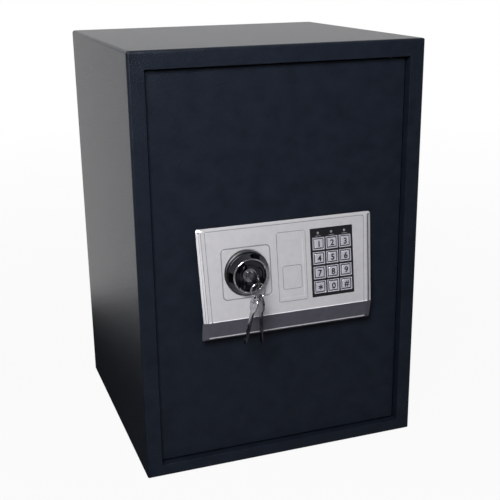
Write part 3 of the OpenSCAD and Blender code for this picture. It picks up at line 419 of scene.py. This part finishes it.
def finish(name, light, dark, rough, metal, grain, bump, stretch=(1, 1, 1), **sockets):
    """Two tones, the roughness, 1 for a metal, how fine the grain is, and its height in mm."""
    paint = bpy.data.materials.new(name)
    paint.use_nodes = True
    tree = paint.node_tree
    link = tree.links.new
    shader = tree.nodes["Principled BSDF"]
    for key, value in {"Metallic": metal, **sockets}.items():
        shader.inputs[key.replace("_", " ")].default_value = value
    turn = node(tree, "ShaderNodeMapping", Scale=stretch)
    link(tree.nodes.new("ShaderNodeTexCoord").outputs["Object"], turn.inputs["Vector"])
    drift, fine = (
        node(tree, "ShaderNodeTexNoise", Scale=scale, Detail=detail, Roughness=roughness)
        for scale, detail, roughness in (
            (grain / DRIFT_SPAN, DRIFT_DETAIL, DRIFT_ROUGHNESS),
            (grain, FINE_DETAIL, FINE_ROUGHNESS),
        )
    )
    for noise in (drift, fine):
        link(turn.outputs[0], noise.inputs["Vector"])
    tone = tree.nodes.new("ShaderNodeValToRGB")
    for stop, place, colour in zip(tone.color_ramp.elements, TONE_STOPS, (dark, light)):
        stop.position, stop.color = place, srgb(*colour)
    link(drift.outputs["Fac"], tone.inputs["Fac"])
    link(tone.outputs["Color"], shader.inputs["Base Color"])
    low, high = (min(rough * share, 1) for share in SHINE_SPREAD)
    shine = node(tree, "ShaderNodeMapRange", To_Min=low, To_Max=high)
    link(fine.outputs["Fac"], shine.inputs["Value"])
    link(shine.outputs["Result"], shader.inputs["Roughness"])
    relief = node(tree, "ShaderNodeBump", Strength=RELIEF, Distance=bump * MM)
    link(fine.outputs["Fac"], relief.inputs["Height"])
    link(relief.outputs["Normal"], shader.inputs["Normal"])
    finishes[name] = paint


print("roughness varies by the shares", SHINE_SPREAD)

# %% [markdown]
# ## Steel and plating
# The cabinet and the door wear a dark blue powder coat, whose grain is coarse
# enough to see and which mirrors little when it is seen from the front. The keys
# and the knob are plated, so they are metals of different brightness. Two keys
# get a darker copy of the nickel, and the blades of the hanging keys a rougher
# and darker one still than their bows, as in the photograph; the darkness is
# painted shade. Each row gives the two tones, the roughness, the share of metal,
# the fineness of the grain and its height.

# %% Finishes of the steel parts
finish("coated_steel", (21, 26, 35), (16, 20, 28), 0.3, 0, 620, 1.1, Specular_IOR_Level=0.11)
finish("bare_steel", (176, 177, 180), (150, 152, 156), 0.32, 1, 700, 0.02, (1, 1, 0.15))
finish("zinc_plate", (196, 199, 204), (170, 174, 182), 0.26, 1, 300, 0.01)
finish("nickel_keys", (206, 206, 210), (120, 120, 126), 0.16, 1, 2400, 0.02)
finish("shaded_nickel", (128, 128, 132), (70, 70, 76), 0.22, 1, 2400, 0.02)
finish("shaded_blade", (84, 84, 90), (34, 34, 38), 0.24, 1, 1600, 0.02)
finish("dark_chrome", (72, 73, 78), (62, 63, 68), 0.05, 1, 300, 0.002)
finish("plated_brass", (206, 206, 210), (180, 180, 185), 0.14, 1, 500, 0.01)
print("finishes", sorted(finishes))

# %% [markdown]
# ## Mouldings, rubber and felt
# The panel is moulded and painted with fine metal flakes, which a half metallic
# finish gives. Its paler and darker tones are a painted highlight and painted
# shade, for lines and edges that are too small to shade by themselves; one of
# the darker ones also prints the band on the cells. The felt gets a sheen, as
# loose fibres do.

# %% Finishes of the moulded parts
finish("silver_moulding", (206, 204, 208), (198, 197, 201), 0.4, 0.55, 1500, 0.015)
finish("grey_moulding", (84, 83, 93), (76, 75, 84), 0.4, 0.5, 1500, 0.015)
# A painted highlight for the lip at the foot of the face.
finish("painted_lip_highlight", (244, 242, 248), (236, 234, 240), 0.3, 0.2, 1500, 0.01)
# Painted shade for the right side of the rim's bevel.
finish("rim_painted_shade", (70, 70, 78), (60, 60, 68), 0.5, 0.3, 1500, 0.01)
# Painted shade for grooves and fine lines, and the grey printed band on the cells.
finish("line_painted_shade_and_band_grey", (132, 132, 138), (122, 122, 128), 0.5, 0.3, 1500, 0.01)
finish("black_moulding", (20, 20, 24), (14, 14, 17), 0.34, 0, 1200, 0.02)
finish("key_caps", (222, 220, 230), (202, 200, 212), 0.22, 0.6, 900, 0.01)
finish("light_lenses", (120, 122, 128), (104, 106, 112), 0.12, 0, 600, 0.005, Coat_Weight=0.4)
finish("key_rubber", (74, 76, 82), (62, 64, 70), 0.6, 0, 800, 0.02)
finish("board", (46, 96, 62), (34, 78, 48), 0.3, 0, 500, 0.02)
finish("cell_wrap", (186, 122, 52), (168, 104, 40), 0.3, 0.2, 400, 0.01)
finish("red_button", (176, 38, 42), (150, 28, 32), 0.35, 0, 700, 0.01)
finish("felt", (64, 65, 70), (46, 47, 52), 0.95, 0, 1400, 0.4, Sheen_Weight=0.3)
print("finishes", len(finishes))

# %% [markdown]
# ## Dressing the sheet metal and the mouldings
# Edges from CAD are perfectly sharp, and no real edge is. To bevel them one by one
# would take a day, so a modifier finds them by their angle. A CAD mesh is made of
# loose triangles, which have no edges in common, so they are merged first. After
# the bevel, weighted normals keep the flat faces flat.

# %% Merge and bevel helpers
MERGE_DISTANCE = 0.000002
SHARP_ANGLE, EDGE_SEGMENTS, FLAT_WEIGHT = math.radians(32), 2, 80


def merge_triangles(piece):
    """Joins the loose triangles of a CAD mesh into one skin and smooths its round faces."""
    only(piece)
    if piece.data.has_custom_normals:
        bpy.ops.mesh.customdata_custom_splitnormals_clear()
    edit_all(piece)
    bpy.ops.mesh.remove_doubles(threshold=MERGE_DISTANCE)
    bpy.ops.mesh.mark_sharp(clear=True)
    leave()
    bpy.ops.object.shade_smooth_by_angle(angle=SHARP_ANGLE)


def soften_edges(piece, width):
    """Bevels the sharp edges by a width in millimetres."""
    bevel = piece.modifiers.new("edges", "BEVEL")
    bevel.width = width * MM
    bevel.segments = EDGE_SEGMENTS
    bevel.limit_method = "ANGLE"
    bevel.angle_limit = SHARP_ANGLE
    bevel.miter_outer = "MITER_ARC"
    bpy.ops.object.modifier_apply(modifier=bevel.name)
    flat = piece.modifiers.new("flat_faces", "WEIGHTED_NORMAL")
    flat.mode = "FACE_AREA"
    flat.weight = FLAT_WEIGHT
    flat.keep_sharp = True
    bpy.ops.object.modifier_apply(modifier=flat.name)


print("sharp above", round(math.degrees(SHARP_ANGLE)), "degrees")

# %% [markdown]
# ## Copies that stand for solids
# The mesh of a CAD solid is never changed, because the mechanical model needs it
# as it is. So a copy of it is dressed, rides on the same body and stands for the
# solid. Solids whose shape is right without a bevel stay, and only get their
# finish. Which finish each part wears is in the record.

# %% Dress helper
slots = {row["node"]: row["material_slot"] for row in frame["record"]["subparts"]}


def dressed(name, source, width):
    """A copy of a CAD node with softened edges, which stands for the node."""
    solid = nodes[source]
    piece = bpy.data.objects.new(name, solid.data.copy())
    bpy.context.scene.collection.objects.link(piece)
    merge_triangles(piece)
    soften_edges(piece, width)
    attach(piece, solid["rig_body"])
    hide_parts(source)
    piece.data.materials.clear()
    piece.data.materials.append(finishes[slots[source]])
    return piece


for n, o in nodes.items():
    o.data.materials.clear()
    o.data.materials.append(finishes[slots[n]])
print("slots", len(set(slots.values())))

# %% [markdown]
# ## Edge widths
# How soft an edge is tells the eye what a part is made of. Each number is the
# width of a bevel in millimetres. The ends of the bolts and the folded sheet are
# the softest, and the small parts of the panel are the crispest.

# %% Dress the steel
edges = {
    "cabinet_wrap": 0.5, "back_panel": 0.4, "door_stop": 0.3, "shelf_rails": 0.3, "shelf": 0.3,
    "door_plate": 0.5, "inner_cover": 0.3, "hinge_sockets": 0.4, "hinge_bar": 0.4,
    "bolt_guides": 0.4, "battery_cover": 0.25, "battery_tray": 0.2, "reset_button": 0.3,
    "bolt_carriage": 0.2, "drive_cam": 0.2, "solenoid_bracket": 0.2, "reset_switch": 0.3,
    "panel_housing": 0.25, "panel_strip": 0.25, "centre_plate": 0.12, "keypad_bezel": 0.15,
    "knob_skirt": 0.3, "knob_cap": 0.2, "lock_plug": 0.12, "bolts": 0.6,
    "inserted_key": 0.3, "spare_key_left": 0.3, "spare_key_right": 0.3,
}
KEY_EDGE = 0.18
key_nodes = sorted(n for n in nodes if n.startswith("key_") and slots[n] == "key_caps")
edges.update({n: KEY_EDGE for n in key_nodes})
pieces = {}
for source, width in edges.items():
    pieces[source] = dressed(source + "_dressed", source, width)
    print(source, len(pieces[source].data.polygons))

# %% [markdown]
# ## The plane of the face
# The panel's face leans back by a little over 7 degrees. Its lines, key caps and
# legends are all found or placed by their distance from that plane, so it is
# written down once, with a helper that gives some faces another finish.

# %% Face helpers
FACE_Y, FACE_Z, FACE_SLOPE = -161, 300, 0.12963
FACE_TILT = math.atan(FACE_SLOPE)
FACE_NORMAL = Vector((0, -math.cos(FACE_TILT), math.sin(FACE_TILT)))
LEVEL_SLACK, FACING = 0.08, 0.95


def face_point(x, z, proud):
    """A point of the panel's face at x and z in millimetres, moved outwards by proud."""
    return Vector((x, FACE_Y - (FACE_Z - z) * FACE_SLOPE, z)) * MM + FACE_NORMAL * proud * MM


def proud_of_face(point):
    """How far a point lies in front of the face's plane, in millimetres."""
    return (point - face_point(0, FACE_Z, 0)).dot(FACE_NORMAL) / MM


def at_level(level):
    """A test for faces that look out of the panel at a level in front of its plane."""
    return lambda middle, normal: (
        normal.dot(FACE_NORMAL) > FACING and abs(proud_of_face(middle) - level) < LEVEL_SLACK
    )


def recolour(piece, name, test):
    """Gives the faces that pass the test another finish."""
    piece.data.materials.append(finishes[name])
    pick(piece, test)
    piece.active_material_index = len(piece.data.materials) - 1
    bpy.ops.object.material_slot_assign()
    leave()


print("face leans back by", round(math.degrees(FACE_TILT), 2))

# %% [markdown]
# ## Lines in the face and grooves in the key caps
# The panel's face carries fine moulded lines, and every key cap has a groove
# between its rim and its pad. Their floors get a darker finish, which is painted
# shade. In the same way the centre plate gets a thin border of painted shade,
# the strip a painted highlight on the rib along its foot, the knob a painted
# highlight on the fine bead on its crest, and the hanging keys blades of painted
# shade. Two of the three keys get a darker copy of the nickel, also painted
# shade. All these shapes are in the solids already, so only their faces are
# sorted and given another finish.

# %% Darken the grooves
PLATE_X, PLATE_Z, PLATE_W, PLATE_H = 8.3, 245.7, 36.5, 83
PLATE_TOP, PLATE_INSET, PLATE_BORDER = 0.7, 0.5, 0.6
LINE_FLOOR = -0.5
STRIP_FOOT, STRIP_NORMAL = Vector((0, -175, 192)), Vector((0, -25, -5)).normalized()
RIB_PROUD = 0.12
KNOB_X, KNOB_Z, BEAD_RADIUS, BEAD_HALF, BEAD_Y = -48, 245, 19.65, 0.95, -181
BLADE_TOP = 201


def plate_border(middle, normal):
    """The thin border and the walls of the centre plate."""
    across = abs(middle.x / MM - PLATE_X)
    up = abs((middle.z / MM - PLATE_Z) / math.cos(FACE_TILT))
    edge = across > PLATE_W / 2 - PLATE_BORDER or up > PLATE_H / 2 - PLATE_BORDER
    return edge and proud_of_face(middle) > 0


def on_rib(middle, normal):
    """The rib along the strip's foot."""
    return (middle - STRIP_FOOT * MM).dot(STRIP_NORMAL) / MM > RIB_PROUD


def on_bead(middle, normal):
    """The fine bead on the crest of the knob."""
    out = math.hypot(middle.x / MM - KNOB_X, middle.z / MM - KNOB_Z)
    return abs(out - BEAD_RADIUS) < BEAD_HALF and middle.y < BEAD_Y * MM


def on_blade(middle, normal):
    """The blade of a hanging key, below its bow."""
    return middle.z < BLADE_TOP * MM


pick(pieces["centre_plate"], at_level(PLATE_TOP))
bpy.ops.mesh.inset(thickness=PLATE_INSET * MM, use_boundary=True)
leave()
# The floors of the face's moulded lines, and next the centre plate's face-level faces and
# border, get painted shade.
recolour(pieces["panel_housing"], "line_painted_shade_and_band_grey", at_level(LINE_FLOOR))
recolour(pieces["centre_plate"], "line_painted_shade_and_band_grey", at_level(0))
recolour(pieces["centre_plate"], "line_painted_shade_and_band_grey", plate_border)
# The rib along the strip's foot gets the silver finish as a painted highlight.
recolour(pieces["panel_strip"], "silver_moulding", on_rib)
# The bead on the knob's crest gets the bright plating as a painted highlight.
recolour(pieces["knob_cap"], "plated_brass", on_bead)
# Two keys get a darker copy of the nickel, and the blades of the hanging keys a darker finish
# still: painted shade.
for n in ("inserted_key", "spare_key_right"):
    pieces[n].data.materials[0] = finishes["shaded_nickel"]
for n in ("spare_key_left", "spare_key_right"):
    recolour(pieces[n], "shaded_blade", on_blade)
# The groove floors of the key caps are painted black: painted shade.
for n in key_nodes:
    recolour(pieces[n], "black_moulding", at_level(0))
print("finishes on the plate", [m.name for m in pieces["centre_plate"].data.materials])

# %% [markdown]
# ## Lip along the foot of the face
# Where the face turns into the strip, its rounded lip catches the light as a fine
# pale line. The lip is too small to round, so a band of 0.9 mm is cut off the
# face with a bisect, which cuts the selected faces alone, and gets a paler
# finish, a painted highlight.

# %% Painted highlight on the lip
LIP = 0.9 * MM
on_face = at_level(0)


def face_foot(piece):
    """The lowest height that the panel's face reaches."""
    rows = [f.vertices for f in piece.data.polygons if on_face(f.center, f.normal)]
    return min(piece.data.vertices[i].co.z for row in rows for i in row)


foot = face_foot(pieces["panel_housing"])
pick(pieces["panel_housing"], on_face)
bpy.ops.mesh.bisect(plane_co=(0, 0, foot + LIP), plane_no=(0, 0, 1))
leave()
recolour(
    pieces["panel_housing"], "painted_lip_highlight",
    lambda middle, normal: on_face(middle, normal) and middle.z < foot + LIP,
)
print("lip above", round(foot, 4))

# %% [markdown]
# ## Lines along the rim
# A dark strip of painted shade runs along the bevel of the rim on its right side,
# and a finer darker strip along its left side. The bevel drops by 1.9 mm over its
# width, so a plane that is level with the face and a little behind it cuts a
# strip that follows the tapering side. Two cuts mark each strip, and the faces
# between them get a darker finish.

# %% Rim lines
RIGHT, LEFT = 1, -1
RIM_LINES = ((RIGHT, -0.1, -0.7, "rim_painted_shade"), (LEFT, -0.75, -1.0, "line_painted_shade_and_band_grey"))
SIDEWAYS, FORWARDS, BEHIND_FACE = 0.3, -0.8, -0.02


def on_rim(side):
    """A test for the faces of the bevel on one side."""
    return lambda middle, normal: (
        side * normal.x > SIDEWAYS and normal.y < FORWARDS
        and proud_of_face(middle) < BEHIND_FACE
    )


for side, high, low, name in RIM_LINES:
    on_side = on_rim(side)
    for level in (high, low):
        pick(pieces["panel_housing"], on_side)
        bpy.ops.mesh.bisect(plane_co=face_point(0, FACE_Z, level), plane_no=FACE_NORMAL)
        leave()
    recolour(
        pieces["panel_housing"], name,
        lambda middle, normal: on_side(middle, normal) and low < proud_of_face(middle) < high,
    )
print("housing faces", len(pieces["panel_housing"].data.polygons))

# %% [markdown]
# ## Cells
# Four cells lie across the tray, each turned the other way than the one below.
# The wrap is a plain amber with a grey band at the plus end, and both ends are
# bare metal. The wrap's colour changes within one long face, so a bisect cuts the
# round faces first. The faces are then sorted by their row and their distance
# from the plus end.

# %% Cells
CELL_PITCH, BAND, NUB_REACH = 15.3 * MM, 15 * MM, 4 * MM
CELL_EDGE, ENDWAYS = 0.4, 0.9
cell_low, cell_high = (Vector(c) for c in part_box("batteries"))


def cell_row(middle):
    return int((middle.z - cell_low.z) / CELL_PITCH)


def from_plus(middle):
    """Distance along the cell from its plus end, which changes sides from row to row."""
    return middle.x - cell_low.x if cell_row(middle) % 2 else cell_high.x - middle.x


def on_end(middle, normal):
    """The flat ends and the nub of a cell."""
    axis_y = (cell_low.y + cell_high.y) / 2
    axis_z = cell_low.z + cell_row(middle) * CELL_PITCH + (cell_high.y - cell_low.y) / 2
    reach = math.hypot(middle.y - axis_y, middle.z - axis_z)
    return abs(normal.x) > ENDWAYS or reach < NUB_REACH


cells = dressed("batteries_dressed", "batteries", CELL_EDGE)
for odd, cut_x in ((0, cell_high.x - BAND), (1, cell_low.x + BAND)):
    pick(cells, lambda middle, normal: cell_row(middle) % 2 == odd)
    bpy.ops.mesh.bisect(plane_co=(cut_x, 0, 0), plane_no=(1, 0, 0))
    leave()
recolour(cells, "line_painted_shade_and_band_grey", lambda middle, normal: from_plus(middle) < BAND)
recolour(cells, "zinc_plate", on_end)
print("cells", len(cells.data.polygons))

# %% [markdown]
# ## Legends on the keys
# The digits are printed on the pads. They could be a picture on each pad, but a
# mesh stays sharp from near by. Each mark starts as text, gets a little weight
# from its offset and a hair of height, and becomes a mesh.

# %% Printed text
DIGIT_SIZE, STAR_SIZE = 9.8, 13
PRINT_WEIGHT, PRINT_BEVEL, PRINT_HEIGHT = 0.18, 0.12, 0.02
CURVE_STEPS, BEVEL_STEPS, PRINT_MERGE = 6, 1, 0.002
SIGNS = {"star": "*", "hash": "#"}


def printed_text(mark):
    """A flat mesh of the mark at the origin, with a hair of height."""
    bpy.ops.object.select_all(action="DESELECT")
    bpy.ops.object.text_add(location=(0, 0, 0))
    text = bpy.context.object
    text.data.body = SIGNS.get(mark, mark)
    text.data.size = (STAR_SIZE if mark == "star" else DIGIT_SIZE) * MM
    text.data.offset = PRINT_WEIGHT * MM
    text.data.bevel_depth = PRINT_BEVEL * MM
    text.data.extrude = PRINT_HEIGHT * MM
    text.data.resolution_u = CURVE_STEPS
    text.data.bevel_resolution = BEVEL_STEPS
    only(text)
    bpy.ops.object.convert(target="MESH")
    piece = bpy.context.object
    edit_all(piece)
    bpy.ops.mesh.remove_doubles(threshold=PRINT_MERGE * MM)
    leave()
    return piece


print("signs", SIGNS)

# %% [markdown]
# ## Legends in their places
# Each mark is turned into the plane of the face and moved to its key, by the
# pitch of the keypad. It rides on that key, so that it goes down with it.

# %% Legends
KEYPAD_X, KEYS_Z, PITCH_X, PITCH_Z = 60, 242.4, 17, 17.3
PAD_RISE, LIFT, MIDDLE_ROW = 1.6, 0.03, 1.5
ROWS = (("1", "2", "3"), ("4", "5", "6"), ("7", "8", "9"), ("star", "0", "hash"))


def legend(mark, column, row):
    piece = printed_text(mark)
    piece.name = "legend_" + mark
    bpy.ops.object.origin_set(type="ORIGIN_GEOMETRY", center="BOUNDS")
    piece.rotation_euler = (math.pi / 2 - FACE_TILT, 0, 0)
    piece.location = face_point(
        KEYPAD_X + column * PITCH_X, KEYS_Z + (MIDDLE_ROW - row) * PITCH_Z, PAD_RISE + LIFT
    )
    settle(piece)
    piece.data.materials.append(finishes["black_moulding"])
    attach(piece, "key_" + mark)


for row, marks in enumerate(ROWS):
    for column, mark in enumerate(marks):
        legend(mark, column - 1, row)

# %% [markdown]
# ## Marks under the lights
# A fine printed bar sits under each light. It is a plane that is drawn out to a
# few hundredths of a millimetre and gets its corners rounded. The bar is modelled
# once, flat at the origin, and each light gets a copy with a mesh of its own.

# %% Light marks
LIGHT_Z, MARK_DROP, BEZEL_TOP, MARK_SINK = 280.8, 3.4, -0.5, 0.02
MARK_WIDTH, MARK_DEPTH, MARK_HEIGHT = 7, 0.7, 0.06
MARK_CORNER, CORNER_STEPS = 0.2, 3


def flat_bar():
    bpy.ops.object.select_all(action="DESELECT")
    bpy.ops.mesh.primitive_plane_add(size=1, location=(0, 0, 0))
    mark = bpy.context.object
    mark.scale = (MARK_WIDTH * MM, MARK_DEPTH * MM, 1)
    settle(mark)
    edit_all(mark)
    bpy.ops.mesh.bevel(offset=MARK_CORNER * MM, segments=CORNER_STEPS, affect="VERTICES")
    bpy.ops.mesh.select_all(action="SELECT")
    bpy.ops.mesh.extrude_region_move(TRANSFORM_OT_translate={"value": (0, 0, MARK_HEIGHT * MM)})
    bpy.ops.mesh.select_all(action="SELECT")
    bpy.ops.mesh.normals_make_consistent(inside=False)
    leave()
    return mark


def light_mark(bar, side, column):
    mark = bpy.data.objects.new("light_mark_" + side, bar.data.copy())
    bpy.context.scene.collection.objects.link(mark)
    mark.rotation_euler = (math.pi / 2 - FACE_TILT, 0, 0)
    mark.location = face_point(
        KEYPAD_X + column * PITCH_X, LIGHT_Z - MARK_DROP, BEZEL_TOP - MARK_SINK
    )
    settle(mark)
    mark.data.materials.append(finishes["light_lenses"])
    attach(mark, "door")
    return mark


bar = flat_bar()
for side, column in (("left", -1), ("middle", 0), ("right", 1)):
    print(light_mark(bar, side, column).name)
bpy.data.objects.remove(bar)

# %% [markdown]
# ## Wire of the spring
# A coil of wire sits between the solenoid and the collar of its plunger. A curve
# with a round section could make it too. The Screw modifier is shorter: it winds
# a small ring of vertices up along a screw path, and both cut ends are closed.

# %% Wound wire
SPRING_TURNS, WIRE_RADIUS = 3, 0.4 * MM
WIRE_SIDES, TURN_STEPS = 10, 32


def wound_wire(coil_radius, length):
    """A coil of wire whose middle line starts at the origin and rises by length."""
    bpy.ops.object.select_all(action="DESELECT")
    bpy.ops.mesh.primitive_circle_add(
        vertices=WIRE_SIDES, radius=WIRE_RADIUS,
        location=(coil_radius, 0, 0), rotation=(math.pi / 2, 0, 0),
    )
    wire = bpy.context.object
    settle(wire)
    winding = wire.modifiers.new("winding", "SCREW")
    winding.axis = "Z"
    winding.angle = 2 * math.pi
    winding.iterations = SPRING_TURNS
    winding.screw_offset = length / SPRING_TURNS
    winding.steps = winding.render_steps = TURN_STEPS
    bpy.ops.object.modifier_apply(modifier=winding.name)
    edit_all(wire)
    bpy.ops.mesh.remove_doubles(threshold=MERGE_DISTANCE)
    bpy.ops.mesh.fill_holes(sides=0)
    bpy.ops.mesh.select_all(action="SELECT")
    bpy.ops.mesh.normals_make_consistent(inside=False)
    leave()
    return wire


print("turns", SPRING_TURNS, "of", TURN_STEPS, "steps")

# %% [markdown]
# ## Spring of the plunger
# The coil fills the box of the solid that it stands for. The real coil gets shorter
# when the plunger is drawn in, but this piece keeps its length.

# %% Plunger spring
PLUNGER_TRAVEL, WIRE_SHARP = 1.5 * MM, math.radians(50)


def coil_spring():
    low, high = (Vector(c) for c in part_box("plunger_spring"))
    centre = (low + high) / 2
    spring = wound_wire((high.x - low.x) / 2 - WIRE_RADIUS, high.z - low.z - 2 * WIRE_RADIUS)
    spring.name = "plunger_spring_wire"
    spring.location = (centre.x, centre.y, low.z + WIRE_RADIUS)
    settle(spring)
    bpy.ops.object.shade_smooth_by_angle(angle=WIRE_SHARP)
    spring.data.materials.append(finishes["bare_steel"])
    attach(spring, "door")
    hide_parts("plunger_spring")
    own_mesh(spring)
    return spring


spring = coil_spring()
print(spring.name, len(spring.data.polygons), [round(c, 4) for c in spring.dimensions])

# %% [markdown]
# ## Felt in the bottom
# A mat of grey felt lies in the safe. A plain box could stand for it, but its top
# has to be a little uneven, and for that it needs points to move. So it starts as
# a fine grid that is drawn up to a slab, a little thinner than the space for it,
# so that the waves fit in.

# %% Felt slab
GRID_X, GRID_Y, WAVE_ROOM = 80, 70, 0.3


def felt_slab(size, centre, foot):
    bpy.ops.object.select_all(action="DESELECT")
    bpy.ops.mesh.primitive_grid_add(
        x_subdivisions=GRID_X, y_subdivisions=GRID_Y, size=1, location=(0, 0, 0)
    )
    slab = bpy.context.object
    slab.scale = (size.x, size.y, 1)
    slab.location = (centre.x, centre.y, foot)
    settle(slab)
    edit_all(slab)
    thickness = size.z - WAVE_ROOM * MM
    bpy.ops.mesh.extrude_region_move(TRANSFORM_OT_translate={"value": (0, 0, thickness)})
    leave()
    return slab


print("felt grid", GRID_X, "by", GRID_Y)

# %% [markdown]
# ## Holes in the felt
# The mat has a round hole at each anchor hole of the floor. It is punched with a
# cylinder, as the real one is, and the cylinder is then thrown away.

# %% Holes in the felt
HOLE_RADIUS, PUNCH_LENGTH, HOLE_SIDES = 10 * MM, 50 * MM, 48


def punch_hole(slab, x, z):
    bpy.ops.object.select_all(action="DESELECT")
    bpy.ops.mesh.primitive_cylinder_add(
        vertices=HOLE_SIDES, radius=HOLE_RADIUS, depth=PUNCH_LENGTH, location=(x, 0, z)
    )
    punch = bpy.context.object
    only(slab)
    cut = slab.modifiers.new("anchor_hole", "BOOLEAN")
    cut.operation = "DIFFERENCE"
    cut.object = punch
    cut.solver = "EXACT"
    bpy.ops.object.modifier_apply(modifier=cut.name)
    bpy.data.objects.remove(punch)


print("felt holes", HOLE_RADIUS)

# %% [markdown]
# ## Felt mat
# A simulation of cloth is for cloth that hangs or sags, and this mat lies flat on
# the steel. So its top only gets slight waves, from two sines, and its cut edges
# get a bevel, because felt has no sharp edge.

# %% Floor mat
ANCHOR_X = 100 * MM
WAVE_X, WAVE_Y, WAVE_HEIGHT = (71, 1.3), (53, 0.4), 0.12
FELT_EDGE, FELT_STEPS = 0.5, 2
FELT_SHARP, FELT_SMOOTH = math.radians(50), math.radians(60)


def wave_top(slab, middle_z):
    """Lifts and lowers the top of the felt by a little."""
    for vertex in slab.data.vertices:
        if vertex.co.z > middle_z:
            wave_x = math.sin(vertex.co.x * WAVE_X[0] + WAVE_X[1])
            wave_y = math.sin(vertex.co.y * WAVE_Y[0] + WAVE_Y[1])
            vertex.co.z += WAVE_HEIGHT * MM * wave_x * wave_y


def felt_mat():
    low, high = (Vector(c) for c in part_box("floor_mat"))
    size, centre = high - low, (low + high) / 2
    mat = felt_slab(size, centre, low.z)
    mat.name = "felt_mat"
    for x in (-ANCHOR_X, ANCHOR_X):
        punch_hole(mat, x, centre.z)
    wave_top(mat, centre.z)
    soft = mat.modifiers.new("soft_edge", "BEVEL")
    soft.width = FELT_EDGE * MM
    soft.segments = FELT_STEPS
    soft.limit_method = "ANGLE"
    soft.angle_limit = FELT_SHARP
    only(mat)
    bpy.ops.object.modifier_apply(modifier=soft.name)
    bpy.ops.object.shade_smooth_by_angle(angle=FELT_SMOOTH)
    mat.data.materials.append(finishes["felt"])
    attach(mat, "cabinet")
    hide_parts("floor_mat")
    return mat


mat = felt_mat()
print(mat.name, len(mat.data.polygons))
